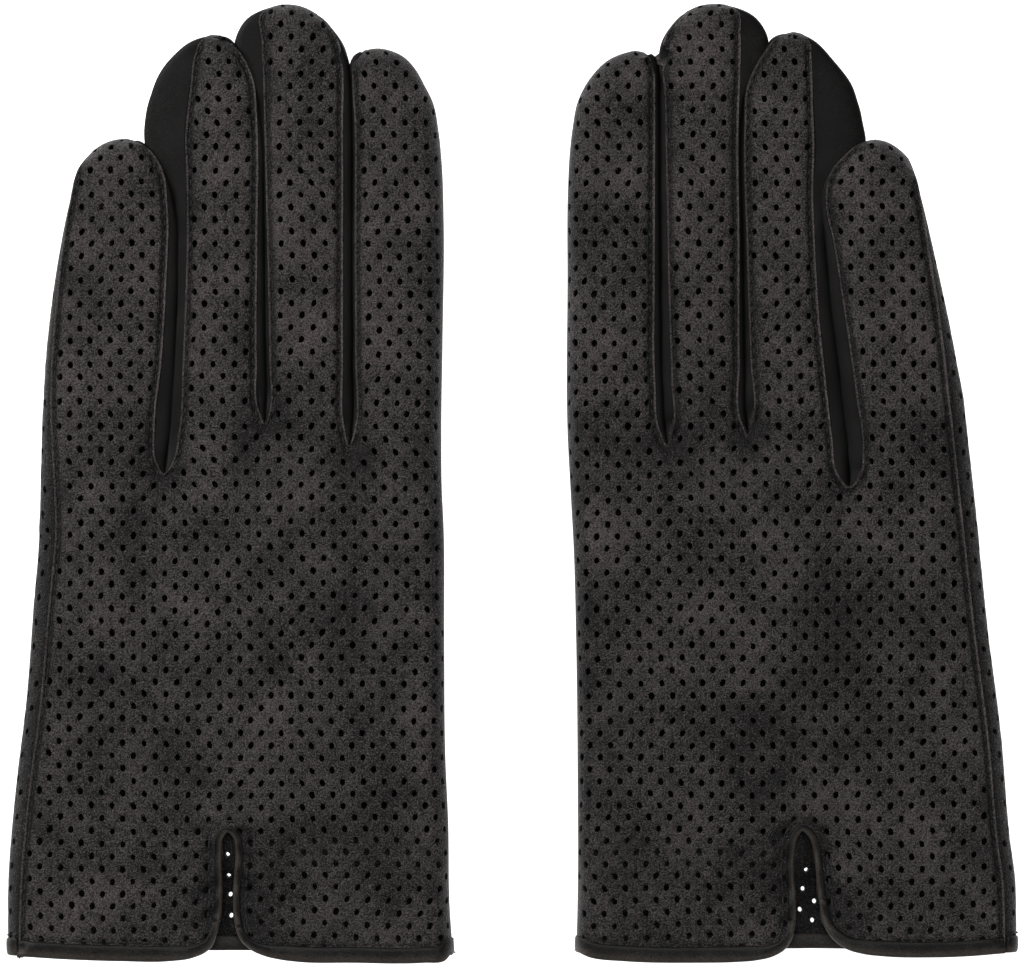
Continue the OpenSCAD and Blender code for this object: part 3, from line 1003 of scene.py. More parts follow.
class Dresser:
    """Makes Blender objects of the pieces, and gives each its finish and slot."""

    def __init__(self) -> None:
        """Make each finish once."""
        self.materials = {kind: finish.make() for kind, finish in FINISHES.items()}
        self.count = 0

    def piece(self, name: str, parts: Sequence[Any], finish: Finish, mirror: bool) -> bpy.types.Object:
        """Make one object of several shells drawn as a right glove's.

        Args:
            name: the piece's name.
            parts: each shell's points in mm, faces and, where it has one, wear with its painted light and
                shade.
            finish: its finish.
            mirror: whether it belongs to the left glove.

        Returns:
            The object, at the origin.
        """
        points, faces, worn_and_lit, start = [], [], [], 0
        for shell_points, shell_faces, *shell_wear_and_shading in parts:
            points.append(shell_points)
            worn_and_lit.append(shell_wear_and_shading[0] if shell_wear_and_shading else np.full(len(shell_points), 0.5))
            faces.extend(tuple(i + start for i in face) for face in shell_faces)
            start += len(shell_points)
        co = np.concatenate(points) * MM
        if mirror:
            co = co * (-1, 1, 1)
            faces = [face[::-1] for face in faces]
        mesh = bpy.data.meshes.new(name)
        mesh.from_pydata(co.tolist(), [], faces)
        mesh.polygons.foreach_set("use_smooth", [True] * len(mesh.polygons))
        mesh.materials.append(self.materials[finish])
        # Each point's wear with its painted light and shade, read by the leather's colour.
        wear = mesh.attributes.new("wear", "FLOAT", "POINT")
        wear.data.foreach_set("value", np.concatenate(worn_and_lit).astype(np.float32))
        mesh.update()
        obj = bpy.data.objects.new(name, mesh)
        bpy.context.scene.collection.objects.link(obj)
        self.count += len(mesh.polygons)
        LOG.info("%s: %d faces", name, len(mesh.polygons))
        return obj


# ---------------------------------------------------------------- the gloves' measures


@dataclass(frozen=True)
class Pattern:
    """One glove's cutting pattern: its edges in the plan and the fullness of its finger sides."""

    side: str
    hem: tuple[Span, ...]
    palm_hem: Span
    seams: tuple[Span, ...]
    side_rolls: dict[str, tuple[Any, Any]]
    crotches: tuple[tuple[float, float], ...]
    vent: tuple[tuple[float, float], ...]
    vent_holes: tuple[tuple[float, float], ...]
    fullness: dict[str, tuple[tuple[float, float], ...]]


def hem_span(name: str, points: tuple[tuple[float, float], ...]) -> Span:
    """Edge under the wide hem band."""
    return Span(name, points, 0.0, 4.6, 0.35, 4.5)


def vent_span(name: str, points: tuple[tuple[float, float], ...]) -> Span:
    """Edge under the vent's narrow roll."""
    return Span(name, points, 0.0, 4.6, 0.3, 3.0)


def lip(name: str, points: tuple[tuple[float, float], ...]) -> Span:
    """Raw edge sewn down over a finger side."""
    return Span(name, points, 0.0, 4.6, 1.0)


def tip(name: str, points: tuple[tuple[float, float], ...]) -> Span:
    """Leather rolled over a fingertip."""
    return Span(name, points, 86.0, 6.0)


LEFT = Pattern(
    "left",
    (
        hem_span("hem_inner", ((14.8, -118.2), (16.6, -119.5), (22, -120), (40, -120), (53, -119.8))),
        vent_span("flare_inner", ((53, -119.8), (58, -119.2), (62, -118.3), (65, -117), (67.3, -115),
                                  (68.8, -112))),
        vent_span("vent", ((68.8, -112), (69.4, -108), (69.5, -103), (69.1, -97), (68.8, -92),
                           (69.4, -88.6),
                           (71, -87.2), (72.4, -88.8), (72.8, -92), (72.8, -98), (72.8, -105),
                           (73.4, -110))),
        vent_span("flare_outer", ((73.4, -110), (74.2, -113.4), (75.2, -115.9), (77, -117.6),
                                  (80, -118.8), (86, -119.6))),
        hem_span("hem_outer", ((86, -119.6), (98, -119.6), (110, -119.2), (123.4, -118.4))),
    ),
    Span("palm_hem", ((14.8, -117.8), (45, -117.7), (75, -117.5), (100, -117.8),
                      (123.4, -118.2)), 0.0, 4.6, 0.35, 4.5),
    (
        Span("side_cuff", ((123.4, -118.4), (123.3, -108), (123, -100), (121, -78), (118, -54.5),
                           (116, -31), (114.4, -12)),
             0.0, 4.6, 1.0),
        Span("side_hand", ((114.4, -12), (115, 4), (115.6, 20)), 0.0, 4.6, 1.0),
        Span("side_finger", ((115.6, 20), (114.6, 40), (112.6, 58), (110.7, 70),
                             (108.2, 79.3)), 0.0, 4.6, 1.0),
        tip("little_tip", ((108.2, 79.3), (106, 82.2), (103.4, 84.4), (99.6, 85.9), (96, 86), (92, 84.2))),
        lip("little_inner", ((92, 84.2), (89, 81), (87.2, 77), (86.3, 70), (86.6, 50), (87.8, 30),
                             (89.5, 13), (89, 5), (87.2, 2))),
        lip("ring_outer", ((87.2, 2), (85, 5), (83.4, 12.5), (82.4, 30), (81.9, 43), (81.4, 60),
                           (81.4, 74), (81.7, 88),
                           (80.4, 99.5), (79.4, 107), (77.7, 110.8))),
        tip("ring_tip", ((77.7, 110.8), (75.6, 112.1), (72.5, 111.7), (69.3, 109))),
        lip("ring_inner", ((69.3, 109), (66.5, 105), (64.6, 100), (63.9, 92), (63.8, 60), (63.9, 30),
                           (63.4, 18), (61.8, 14.5))),
        lip("middle_outer", ((61.8, 14.5), (60.7, 18), (60.7, 30), (61.3, 60), (62, 90), (62.2, 99),
                             (62.6, 110), (62.7, 117.6))),
        tip("middle_tip", ((62.7, 117.6), (60.2, 119.2), (56, 119.9), (52, 119.1), (48.6, 117.1),
                           (45.5, 113.6))),
        lip("middle_inner", ((45.5, 113.6), (43.4, 110), (42.5, 105), (42.3, 90), (42.3, 60), (42.3, 30),
                             (42, 14), (40.7, 9))),
        lip("index_outer", ((40.7, 9), (39.3, 14), (39.2, 30), (39.4, 60), (39.4, 90), (39.9, 100),
                            (39.8, 104.5))),
        tip("index_tip", ((39.8, 104.5), (38.2, 107.5), (34.6, 108.8), (30.5, 108.3), (27, 106.6),
                          (24.2, 103.6), (21.9, 99.5))),
        Span("index_fold", ((21.9, 99.5), (19.9, 95.5), (18.4, 88), (17.6, 80), (17.1, 65), (17.4, 35),
                            (17.7, 13),
                            (17.5, -2), (17.1, -10), (16.9, -40), (16.6, -69), (15.9, -85), (15.6, -107),
                            (14.8, -118.2)), 88.0, 5.0),
    ),
    {
        "side_cuff": (168.0, (3.8, 5.4)),
        "side_hand": (168.0, (5.4, 2.6)),
        "side_finger": ((168.0, 96.0), (2.6, 4.6)),
    },
    ((87.2, 2), (61.8, 14.5), (40.7, 9)),
    ((71, -86), (71, -119)),
    ((71.2, -93.2), (71.1, -98.6), (70.8, -103.7), (70.6, -109)),
    {
        "index_outer": ((5, 0.8), (90, 0.8), (100, 0.7), (107, 0.4)),
        "middle_inner": ((5, 0.8), (16, 2.5), (90, 2.6), (104, 2.0), (113, 0.6)),
        "middle_outer": ((14, 0.8), (85, 1.3), (92, 1.9), (96, 2.4), (101, 5.0), (106, 7.0), (110.8, 7.2),
                         (114.7, 4.6), (117.4, 2.0), (118.6, 1.0), (119.9, 0)),
        "ring_inner": ((14, 0.8), (22, 2.2), (85, 2.0), (97, 0.8), (106, 0.4)),
        "ring_outer": ((2, 0.9), (13, 2.4), (50, 2.2), (64, 2.6), (72, 4.2), (77, 8.2), (81, 10.2),
                       (86.8, 10.8), (94.3, 10.7),
                       (101, 9.1), (104, 7.6), (106.8, 5.9), (109, 4.2), (111, 2.4), (111.8, 0.9),
                       (112.2, 0)),
        "little_inner": ((2, 0.9), (8, 2.8), (14, 4.0), (40, 3.0), (70, 2.0), (80, 0.5)),
    },
)

RIGHT = Pattern(
    "right",
    (
        hem_span("hem_inner", ((16.1, -117.6), (20, -118.8), (28, -119.6), (46, -120), (56, -119.8))),
        vent_span("flare_inner", ((56, -119.8), (61, -119.4), (65.5, -118.3), (68.2, -116.7),
                                  (69.8, -114.2), (70.5, -110.3))),
        vent_span("vent", ((70.5, -110.3), (70.7, -104), (70.2, -98), (70.3, -93), (70.9, -89),
                           (72.4, -86.9),
                           (74.4, -88.6), (75.6, -91.8), (76.3, -98), (77, -104))),
        vent_span("flare_outer", ((77, -104), (78, -109.8), (79.6, -113.2), (83.4, -116.4), (88, -117.8),
                                  (93, -118.4))),
        hem_span("hem_outer", ((93, -118.4), (104, -118.7), (114, -118.4), (123.4, -117.6))),
    ),
    Span("palm_hem", ((16.1, -117.4), (45, -117.2), (75, -117), (100, -117.4),
                      (123.4, -117.6)), 0.0, 4.6, 0.35, 4.5),
    (
        Span("side_cuff", ((123.4, -117.6), (123.3, -108), (122.9, -99), (122, -93), (119.1, -62),
                           (116.1, -39),
                           (113.6, -16)), 0.0, 4.6, 1.0),
        Span("side_hand", ((113.6, -16), (111.2, 6), (109.4, 22.5)), 0.0, 4.6, 1.0),
        Span("side_finger", ((109.4, 22.5), (107.1, 41.5), (104.1, 60.5), (102.6, 70),
                             (101.2, 76.5)), 0.0, 4.6, 1.0),
        tip("little_tip", ((101.2, 76.5), (99.4, 81.2), (96.8, 83.8), (93.4, 85.6), (89.8, 85.8),
                           (86.4, 84.4))),
        lip("little_inner", ((86.4, 84.4), (83, 81.5), (80.2, 78.2), (78.7, 73), (78.7, 69), (80.4, 60.5),
                             (83.4, 41.5),
                             (86.1, 22.5), (87.8, 8), (87, 1.5), (84.4, -1.2))),
        lip("ring_outer", ((84.4, -1.2), (81.7, 1.8), (80.2, 11), (78.9, 22.5), (76.9, 41.5),
                           (75.8, 60.5), (75.4, 75),
                           (75.7, 84), (75.3, 95), (75, 105), (74.4, 110.6))),
        tip("ring_tip", ((74.4, 110.6), (72.8, 112.4), (69.6, 112.7), (66.2, 111.2))),
        lip("ring_inner", ((66.2, 111.2), (63.5, 108), (60.6, 103.3), (58.7, 98), (58.3, 90), (58.8, 60),
                           (59.8, 30), (60.3, 16), (59, 11.8))),
        lip("middle_outer", ((59, 11.8), (57.5, 15), (57, 30), (56.9, 60), (56.7, 90), (57.2, 104),
                             (57.2, 112), (56.6, 118))),
        tip("middle_tip", ((56.6, 118), (54.4, 119.5), (51, 120), (46.6, 119.4), (43, 117.4),
                           (40.4, 114.6))),
        lip("middle_inner", ((40.4, 114.6), (38.5, 111.5), (37.5, 107), (38.2, 98), (38.6, 80),
                             (39.2, 50), (40, 25), (40.3, 14), (38.8, 9.2))),
        lip("index_outer", ((38.8, 9.2), (37, 13), (35.9, 25), (35.7, 50), (35.8, 80), (35.8, 96),
                            (35.6, 103))),
        tip("index_tip", ((35.6, 103), (34.5, 106.8), (31.5, 108.2), (28, 107.6), (23.7, 105.6),
                          (20.6, 102.6), (18.1, 99))),
        Span("index_fold", ((18.1, 99), (16.5, 95.5), (15.2, 89), (14.5, 83), (14, 73), (13.9, 50),
                            (13.9, 13),
                            (14.6, -2), (15.4, -17), (16, -40), (16.4, -77), (16.4, -107),
                            (16.1, -117.6)), 88.0, 5.0),
    ),
    {
        "side_cuff": (168.0, (4.0, 4.6)),
        "side_hand": (168.0, (4.8, 4.8)),
        "side_finger": ((168.0, 96.0), (4.6, 4.8)),
    },
    ((84.4, -1.2), (59, 11.8), (38.8, 9.2)),
    ((72.4, -86), (75.6, -119)),
    ((73.8, -97.2), (73.1, -102.2), (76, -105.4), (72.4, -107.5), (75.5, -110.2)),
    {
        "index_outer": ((5, 0.8), (16, 1.9), (50, 1.6), (96, 0.9), (104, 0.8)),
        "middle_inner": ((8, 0.8), (16, 2.6), (50, 2.2), (95, 1.6), (106, 0.9), (114, 0.4)),
        "middle_outer": ((12, 0.8), (30, 1.4), (90, 0.9), (96, 1.6), (101, 4.4), (106, 6.8), (111.3, 7.3),
                         (113.5, 6.4),
                         (115.5, 5.0), (117.5, 3.0), (118.6, 1.8), (120, 0)),
        "ring_inner": ((12, 0.8), (22, 1.8), (85, 1.3), (97, 0.6), (110, 0.4)),
        "ring_outer": ((-1, 0.9), (8, 3.6), (20, 3.9), (60, 3.0), (70, 3.8), (75, 7.5), (80, 12.0),
                       (86, 13.6),
                       (93.1, 12.4), (100, 9.8), (105.2, 6.4), (109.2, 2.8), (111.4, 1.2), (112.6, 0)),
        "little_inner": ((-1, 0.9), (6, 3.4), (22, 3.6), (41, 3.0), (60, 2.4), (70, 1.9), (80, 0.5)),
    },
)


FOURCHETTES = {
    "index_outer": "index_fourchette",
    "middle_inner": "middle_index_fourchette",
    "middle_outer": "middle_ring_fourchette",
    "ring_inner": "ring_middle_fourchette",
    "ring_outer": "ring_little_fourchette",
    "little_inner": "little_fourchette",
}
FORKS = (("index_outer", "middle_inner"), ("middle_outer", "ring_inner"), ("ring_outer", "little_inner"))
FACING = {**dict(FORKS), **{second: first for first, second in FORKS}}


def eased(values: Array, times: int) -> Array:
    """Rows of values smoothed along their length with both ends held, as often as times says."""
    for _ in range(times):
        values[1:-1] = (values[:-2] + 2 * values[1:-1] + values[2:]) / 4
    return values


def level_at(height: float) -> Callable[[Array], Array]:
    """Form that is level at one height in mm."""
    return lambda plan: np.full(len(plan), height)


@dataclass
class Glove:
    """One glove: panels, finger sides, bindings, threads and thumb."""

    pattern: Pattern
    dresser: Dresser
    cuff_height: float = 10.0
    finger_height: float = 9.4
    hand_height: float = 15.3
    palm_raise: float = 7.5
    thumb_pivot: tuple[float, float] = (40.0, -72.0)
    thumb_lean: float = 8.0
    thumb_outline: tuple[tuple[float, float], ...] = (
        (0, -14), (10, -10), (13.6, 0), (13.4, 18), (12.6, 36), (11, 50), (6.5, 60), (0, 63.4),
    )
    thumb_step: float = 0.9
    thumb_seed: float = 90.0
    sole: float = 0.35
    bend_zone: tuple[float, float] = (0.3, 18.0)
    tip_samples: int = 7
    side_steps: int = 26
    side_thickness: float = 0.7
    fingertip_row: float = 12.0
    pieces: list[bpy.types.Object] = field(default_factory=list)

    def __post_init__(self) -> None:
        """Lay out the panels."""
        p = self.pattern
        self.mirror = p.side == "left"
        back_edge = Edge([p.hem, p.seams], EDGE_STEP, KNUCKLE_Y)
        rolls = p.side_rolls
        rolled = tuple(Span(s.name, s.points, *rolls[s.name], 0.35) if s.name in rolls else s for s in p.seams)
        palm_edge = Edge([[p.palm_hem], rolled], EDGE_STEP, KNUCKLE_Y)
        seed = 11.0 if self.mirror else 37.0
        back_form = Form(self.top, self.middle, self.bottom, 1.0)
        self.back = Panel(back_edge, back_form, Punch(), p.crotches, p.vent, seed, fingered=True)
        spared = (p.vent[0][0] + 0.8, 5.4, -85.0)
        palm_punch = Punch(start=(2.625, 17.0), spared=spared, extra=p.vent_holes)
        palm_form = Form(self.bottom, self.middle, self.under_lip, -1.0)
        self.palm = Panel(palm_edge, palm_form, palm_punch, p.crotches, (), seed + 50, fingered=True)

    def over_thumb(self, plan: Array) -> Array:
        """How much the hand is raised over the thumb, 0 to 1."""
        u, y = plan[:, 0], plan[:, 1]
        return smooth((92 - u) / 34) * smooth((y + 106) / 26) * smooth((14 - y) / 22)

    def top(self, plan: Array) -> Array:
        """Height of the back."""
        share = np.clip((plan[:, 1] + 120) / (KNUCKLE_Y + 120), 0, 1)
        flat = mix(self.cuff_height, self.finger_height, share) - 0.3
        return mix(flat, self.hand_height, self.over_thumb(plan))

    def bottom(self, plan: Array) -> Array:
        """Height of the palm."""
        u, y = plan[:, 0], plan[:, 1]
        raised = smooth((86 - u) / 18) * smooth((y + 104) / 16) * smooth((13 - y) / 15)
        return self.sole + (self.palm_raise - self.sole) * raised

    def middle(self, plan: Array) -> Array:
        """Height at which back and palm meet along a fold."""
        return 0.5 * (self.top(plan) + self.bottom(plan)) - 0.4

    def under_lip(self, plan: Array) -> Array:
        """Height of the palm's leather where it comes up under the back's edge."""
        return self.top(plan) - 2.1

    def keep(self, obj: bpy.types.Object, body: str, *nodes: str) -> None:
        """Put a piece on its body in place of its CAD nodes; a finger's piece is only baked in place, on no
        body.
        """
        side = self.pattern.side
        if body in FINGERS:
            start, end = ((0, (KNUCKLE_Y + past) * MM, 0) for past in self.bend_zone)
            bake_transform(obj)
        else:
            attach(obj, f"{side}_{body}")
        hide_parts(*(f"{side}_{n}" for n in nodes))
        self.pieces.append(obj)

    def make(self, name: str, parts: Sequence[Any], finish: Finish, body: str, *nodes: str) -> None:
        """Make a piece of this glove and put it on its body, or for a finger leave it on no body."""
        if parts:
            obj = self.dresser.piece(f"{self.pattern.side}_{name}_made", parts, finish, self.mirror)
            self.keep(obj, body, *nodes)

    def build(self) -> None:
        """Build the whole glove."""
        for panel, face in ((self.back, "back"), (self.palm, "palm")):
            for name, sheet in panel.cut().items():
                self.make(f"{name}_{face}", [sheet.shell()], Finish.PERFORATED, name, f"{name}_{face}")
        for name in self.pattern.fullness:
            self.finger_side(name)
        self.bindings()
        self.stitching()
        self.thumb()

    def finger_side(self, name: str) -> None:
        """Sew in one side of a finger, between the back's lip and the palm's.

        Args:
            name: the finger and which of its sides, such as "ring_outer".
        """
        finger, which = name.split("_")
        back, palm = self.back, self.palm
        outer = which == "outer"
        way = 1.0 if outer else -1.0
        beyond = self.tip_samples
        before, after = (1, beyond) if outer else (beyond, 1)
        ranges = (edge.samples(name)[[0, -1]] + (-before, 1 + after) for edge in (back.edge, palm.edge))
        upper, lower = (np.arange(first, end) for first, end in ranges)
        count = min(len(upper), len(lower))
        upper, lower = (n[:count] if outer else n[-count:] for n in (upper, lower))
        tuck = smooth((np.arange(count) - (count - 1 - beyond)) / beyond)
        tuck = tuck if outer else tuck[::-1]
        seams = []
        for panel, numbers in ((back, upper), (palm, lower)):
            point, normal = panel.surface(panel.inset(numbers, 1.0 + 1.6 * tuck))
            point = point - normal * (panel.thickness + 0.05 + 0.3 * tuck[:, None])
            seams.append(eased(point, 8))
        top, low = seams
        full = self.full(name, back.edge.plan[upper])
        line = back.edge.plan[upper] - back.edge.outward[upper] * 0.35 * tuck[:, None]
        out = line + np.column_stack([way * full, np.zeros(count)]) - 0.5 * (top[:, :2] + low[:, :2])
        out = eased(out, 3)
        arc = back.edge.arc[upper]
        crease = 0.12 * np.array([noise.noise(Vector((a / 9.0, 3.3, back.seed))) for a in arc])
        steps = self.side_steps
        power = mix(0.5, 0.9, smooth((full - 3) / 5))
        rows = []
        for k in range(steps + 1):
            angle = math.pi * k / steps
            reach = (1.0 + 0.4 * crease) * np.power(max(math.sin(angle), 0.0), power)
            cosine = math.cos(angle)
            level = 0.5 + 0.5 * math.copysign(abs(cosine) ** 0.75, cosine)
            plan = mix(low[:, :2], top[:, :2], level) + out * reach[:, None]
            z = mix(low[:, 2], top[:, 2], level)
            rows.append(np.column_stack([plan, z]))
        skin = np.stack(rows, axis=1)
        across = np.gradient(skin, axis=1)
        along = np.gradient(skin, axis=0)
        normal = unit(np.cross(along, across))
        flip = np.sign((normal[:, steps // 2, 0] * way).mean())
        inner = skin - normal * flip * self.side_thickness
        section = np.concatenate([skin, inner[:, ::-1]], axis=1)
        points, faces = loft(section, True, False)
        if flip > 0:
            faces = [f[::-1] for f in faces]
        node = FOURCHETTES[name]
        # Painted highlight along the top of a narrow finger side, and on a wide one a painted gradient lighter
        # towards the back; the inner face is painted shade.
        share = np.arange(steps + 1) / steps
        ridge_highlight = np.exp(-(((share - 0.64) / 0.14) ** 2))
        wear = mix(ridge_highlight * 1.0, 0.25 + 0.25 * share, smooth((full[:, None] - 3.5) / 3.0))
        wear = np.concatenate([wear, np.zeros_like(wear)], axis=1).reshape(-1)
        self.make(node, [(points, faces, wear)], Finish.PLAIN, finger, node)

    def full(self, name: str, plan: Array) -> Array:
        """Fullness of a finger side, raised wherever it would not reach the finger side that faces it.

        Args:
            name: the finger side's name.
            plan: its stations in the plan.

        Returns:
            The fullness at each station in mm, straight across the finger.
        """
        facing = FACING[name]
        tables = self.pattern.fullness
        own, other = (
            np.interp(plan[:, 1], *np.array(tables[which]).T) for which in (name, facing)
        )
        line = self.back.edge.plan[self.back.edge.samples(facing)]
        line = line[np.argsort(line[:, 1])]
        gap = np.abs(np.interp(plan[:, 1], line[:, 1], line[:, 0]) - plan[:, 0])
        missing = np.maximum(gap + 0.8 - own - other, 0.0)
        full = own + 0.5 * missing * smooth((line[-1, 1] - 2.0 - plan[:, 1]) / 6.0)
        return eased(full, 3)

    def binding(self, panel: Panel, numbers: Array, widths: Array) -> tuple[Array, Faces, Array]:
        """Fold a strip round a panel's edge.

        Args:
            panel: the panel that is bound.
            numbers: the edge samples, in order.
            widths: how far the strip reaches in from the edge at each, in mm.

        Returns:
            The strip's points, faces and wear, with a painted highlight on the roll.
        """
        thick = panel.thickness
        profile = (
            (1.0, 0.0), (1.0, 0.26), (0.9, 0.42), (0.7, 0.47), (0.45, 0.46), (0.22, 0.42), (0.06, 0.24),
            (0.0, -0.05),
            (0.0, -thick), (0.05, -thick - 0.26), (0.3, -thick - 0.4), (0.8, -thick - 0.4),
            (1.0, -thick - 0.2),
            (1.0, -thick + 0.02), (0.5, -0.5 * thick), (0.98, -0.02),
        )
        rows = []
        for share, lift in profile:
            inset = widths * share - 0.32 * (1 - share) ** 4
            point, normal = panel.surface(panel.inset(numbers, inset))
            rows.append(point + normal * lift)
        points, faces = loft(np.stack(rows, axis=1), True, False)
        if panel.form.up > 0:
            faces = [f[::-1] for f in faces]
        # Painted highlight along the top of the roll.
        rubbed_and_lit = (0.3 + 0.7 * math.exp(-(((share - 0.15) / 0.3) ** 2)) for share, _ in profile)
        wear = [0.7 if lift < 0 else worn_and_lit for worn_and_lit, (_, lift) in zip(rubbed_and_lit, profile)]
        return points, faces, np.tile(wear, len(numbers))

    def bindings(self) -> None:
        """Bind the hem and the vent."""
        sizes = Hem()
        edge = self.back.edge
        strips = {}
        flares = ("flare_inner", "flare_outer")
        for name in ("hem_inner", *flares, "vent", "hem_outer"):
            numbers = edge.samples(name)
            if name != "hem_outer":
                numbers = np.append(numbers, numbers[-1] + 1)
            if name in flares:
                ramp = smooth(np.linspace(0, 1, len(numbers)))
                ramp = ramp if name == "flare_inner" else ramp[::-1]
                widths = mix(sizes.band, sizes.roll, ramp)
            else:
                widths = np.full(len(numbers), sizes.roll if name == "vent" else sizes.band)
            strips[name] = (numbers, widths)
        under = self.palm.edge
        palm = np.concatenate([under.samples(name) for name in ("corner_start", "palm_hem", "corner_end")])
        start = edge.samples("corner_start")
        numbers, widths = strips["hem_inner"]
        numbers, widths = np.append(start, numbers), np.append(np.full(len(start), sizes.band), widths)
        strips["hem_inner"] = (numbers, widths)
        hem_parts = [self.binding(self.palm, palm, np.full(len(palm), sizes.band))]
        for pair in (("hem_inner", "flare_inner"), ("flare_outer", "hem_outer")):
            numbers = np.concatenate([strips[pair[0]][0][:-1], strips[pair[1]][0]])
            widths = np.concatenate([strips[pair[0]][1][:-1], strips[pair[1]][1]])
            hem_parts.append(self.binding(self.back, numbers, widths))
        self.make("hem_binding", hem_parts, Finish.BINDING, "hand", "hem_binding")
        vent = self.binding(self.back, *strips["vent"])
        self.make("vent_binding", [vent], Finish.BINDING, "hand", "vent_binding")

    def stitches(self, panel: Panel, numbers: Array, inset: Array | float, pitch: float) -> list[Any]:
        """Sew a row of stitches along part of a panel's edge.

        Args:
            panel: the panel sewn through.
            numbers: the edge samples, in order.
            inset: how far in from the edge the row runs, in mm.
            pitch: length of a stitch and its gap.

        Returns:
            The stitches' points and faces.
        """
        line = panel.inset(numbers, inset)
        gaps = np.linalg.norm(np.diff(line, axis=0), axis=1)
        arc = np.concatenate([[0], np.cumsum(gaps)])
        at = np.arange(pitch / 2, arc[-1], pitch)
        if not len(at):
            return []
        half, sections, sides, radius = 0.36 * pitch, 6, 8, 0.24
        angles = np.arange(sides) * 2 * math.pi / sides
        shares = np.linspace(-1, 1, sections + 1)
        rows = []
        for share in shares:
            spot = np.clip(at + share * half, 0, arc[-1])
            flat = np.column_stack([np.interp(spot, arc, line[:, 0]), np.interp(spot, arc, line[:, 1])])
            point, normal = panel.surface(flat)
            rows.append((point, normal))
        made = []
        for k in range(len(at)):
            normal = np.array([up[k] for _, up in rows])
            centre = np.array([point[k] for point, _ in rows]) + normal * (0.16 - 0.34 * shares**4)[:, None]
            side = unit(np.cross(np.gradient(centre, axis=0), normal))
            ring = []
            for s, share in enumerate(shares):
                r = radius * math.sqrt(max(1 - share**6 * 0.85, 0.05))
                around = np.cos(angles)[:, None] * side[s] + np.sin(angles)[:, None] * normal[s]
                ring.append(centre[s] + r * around)
            points, faces = loft(np.stack(ring), True, False)
            a, b, c = (points[faces[0][i]] for i in range(3))
            if np.dot(np.cross(b - a, c - a), (a + c) / 2 - centre[0]) < 0:
                faces = [f[::-1] for f in faces]
            made.append((points, faces))
        return made

    def stitching(self) -> None:
        """Sew every seam's visible thread."""
        back, palm = self.back, self.palm
        for finger in FINGERS:
            parts: list[Any] = []
            for panel in (back, palm):
                for name in (f"{finger}_inner", f"{finger}_outer"):
                    numbers = panel.edge.samples(name)
                    numbers = numbers[panel.edge.plan[numbers, 1] > KNUCKLE_Y - self.fingertip_row]
                    if len(numbers) > 2:
                        parts += self.stitches(panel, numbers, SEAM_INSET, SEAM_PITCH)
            if finger == "little":
                numbers = back.edge.samples("side_hand", "side_finger")
                numbers = numbers[back.edge.plan[numbers, 1] > KNUCKLE_Y]
                parts += self.stitches(back, numbers, SEAM_INSET, SEAM_PITCH)
            self.make(f"{finger}_thread", parts, Finish.THREAD, finger, f"{finger}_thread")
        numbers = back.edge.samples("side_cuff", "side_hand")
        lower = numbers[back.edge.plan[numbers, 1] < KNUCKLE_Y]
        side = self.stitches(back, lower, SEAM_INSET, SEAM_PITCH)
        self.make("side_seam_thread", side, Finish.THREAD, "hand", "side_seam_thread")
        hem = self.stitches(palm, palm.edge.samples("palm_hem", "corner_end"), HEM_INSET, HEM_PITCH)
        for name in ("hem_inner", "hem_outer"):
            hem += self.stitches(back, back.edge.samples(name), HEM_INSET, HEM_PITCH)
        for name, ends in (("flare_inner", (HEM_INSET, VENT_INSET)), ("flare_outer", (VENT_INSET, HEM_INSET))):
            numbers = back.edge.samples(name)
            inset = mix(*ends, smooth(np.linspace(0, 1, len(numbers))))
            hem += self.stitches(back, numbers, inset, HEM_PITCH)
        self.make("hem_thread", hem, Finish.THREAD, "hand", "hem_thread")
        vent = self.stitches(back, back.edge.samples("vent"), VENT_INSET, HEM_PITCH)
        self.make("vent_thread", vent, Finish.THREAD, "hand", "vent_thread")

    def on_thumb(self, points: Sequence[tuple[float, float]]) -> tuple[tuple[float, float], ...]:
        """Points across and along the thumb, turned by its lean and moved to its pivot."""
        lean = math.radians(self.thumb_lean)
        u, y = self.thumb_pivot
        return tuple(
            (u + a * math.cos(lean) + b * math.sin(lean), y - a * math.sin(lean) + b * math.cos(lean))
            for a, b in points
        )

    def thumb(self) -> None:
        """Build the thumb that lies folded under the palm, as two panels sewn round their edge."""
        right = self.thumb_outline
        left = tuple((-a, b) for a, b in reversed(right))
        spans = [
            Span("thumb_outer", self.on_thumb(right), 80.0, 3.0, 0.3),
            Span("thumb_inner", self.on_thumb(left), 80.0, 3.0, 0.3),
        ]
        edge = Edge([spans], self.thumb_step, None)
        middle = level_at(3.6)
        for name, own, up in (("thumb_top", 6.7, 1.0), ("thumb_underside", 0.5, -1.0)):
            form = Form(level_at(own), middle, middle, up)
            panel = Panel(edge, form, Punch(start=(1.0, 0.0)), (), (), self.thumb_seed + up)
            self.make(name, [panel.cut()["hand"].shell()], Finish.PERFORATED, "thumb", name)
        sewn = self.stitches(panel, np.arange(len(edge.flat)), 1.9, SEAM_PITCH)
        self.make("thumb_seam_thread", sewn, Finish.THREAD, "thumb", "thumb_seam_thread")


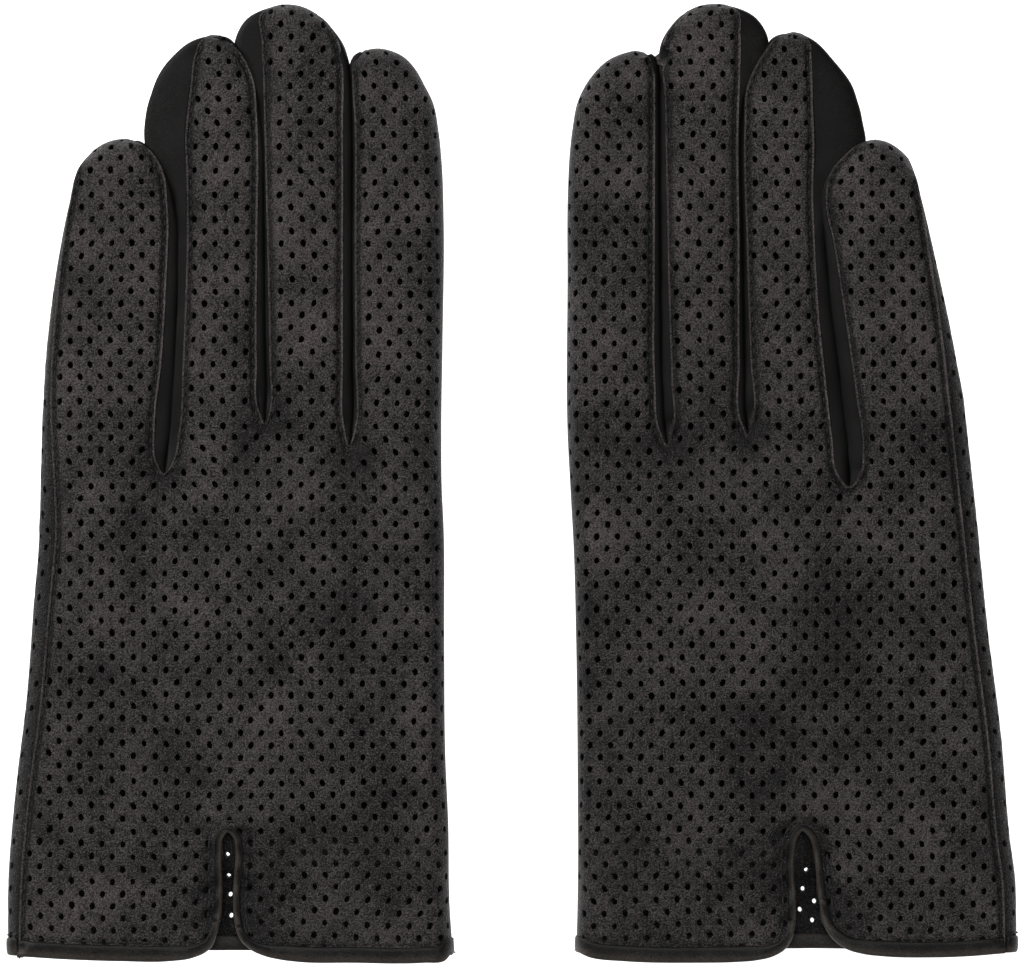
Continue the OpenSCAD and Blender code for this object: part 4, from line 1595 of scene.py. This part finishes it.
@dataclass
class Studio:
    """Floor, lights and camera."""

    drop: float = 0.1
    across: float = 0.256
    lens: float = 200.0
    sensor: float = 36.0
    centre: tuple[float, float] = (0.0, -0.0005)

    def build(self) -> None:
        """Set up the whole studio."""
        self.floor()
        self.light("Above", (-0.1, 0.5, 1.7), 0.6, 8.0)
        self.light("Side", (-0.9, 0.6, 0.6), 0.4, 7.0)
        self.light("Low", (0.6, -0.9, 0.7), 0.5, 1.5)
        world = bpy.data.worlds.new("Studio air")
        world.use_nodes = True
        backdrop = world.node_tree.nodes["Background"]
        backdrop.inputs["Color"].default_value = (1, 1, 1, 1)
        backdrop.inputs["Strength"].default_value = 0.12
        bpy.context.scene.world = world
        bpy.context.scene.view_settings.view_transform = "Standard"
        self.camera()

    def floor(self) -> None:
        """Lay a plain white floor."""
        bpy.ops.object.select_all(action="DESELECT")
        bpy.ops.mesh.primitive_plane_add(size=6.0, location=(0, 0, -self.drop))
        floor = bpy.context.active_object
        floor.name = "studio_floor"
        bench = Workbench("Studio white")
        cloud = bench.noise(3.0, 1.0)
        floor.data.materials.append(
            bench.finish(
                {
                    "Base Color": bench.colour(cloud, (0.9, 0.9, 0.9), (0.92, 0.92, 0.92)),
                    "Roughness": 0.9,
                    "Emission Color": (1, 1, 1, 1),
                    "Emission Strength": 1.2,
                }
            )
        )

    def light(self, name: str, place: tuple[float, float, float], size: float, power: float) -> None:
        """Hang one soft square light that looks at the gloves."""
        data = bpy.data.lights.new(name, "AREA")
        data.size, data.energy = size, power
        lamp = bpy.data.objects.new(name, data)
        lamp.location = place
        lamp.rotation_euler = (-Vector(place)).to_track_quat("-Z", "Y").to_euler()
        bpy.context.scene.collection.objects.link(lamp)

    def camera(self) -> None:
        """Hang the camera straight above."""
        data = bpy.data.cameras.new("Camera")
        data.lens, data.sensor_width = self.lens, self.sensor
        camera = bpy.data.objects.new("Camera", data)
        height = self.across * self.lens / self.sensor + 0.010
        camera.location = (*self.centre, height)
        data.clip_start, data.clip_end = 0.01, 10.0
        bpy.context.scene.collection.objects.link(camera)
        bpy.context.scene.camera = camera


def main() -> None:
    """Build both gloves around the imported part."""
    logging.basicConfig(level=logging.INFO, format="%(message)s")
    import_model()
    bpy.ops.object.select_all(action="DESELECT")
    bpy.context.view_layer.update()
    dresser = Dresser()
    Studio().build()
    for pattern in (LEFT, RIGHT):
        glove = Glove(pattern, dresser)
        glove.build()
        LOG.info("%s glove: %d pieces", pattern.side, len(glove.pieces))
    LOG.info("faces in all: %d", dresser.count)


if __name__ == "__main__":
    main()
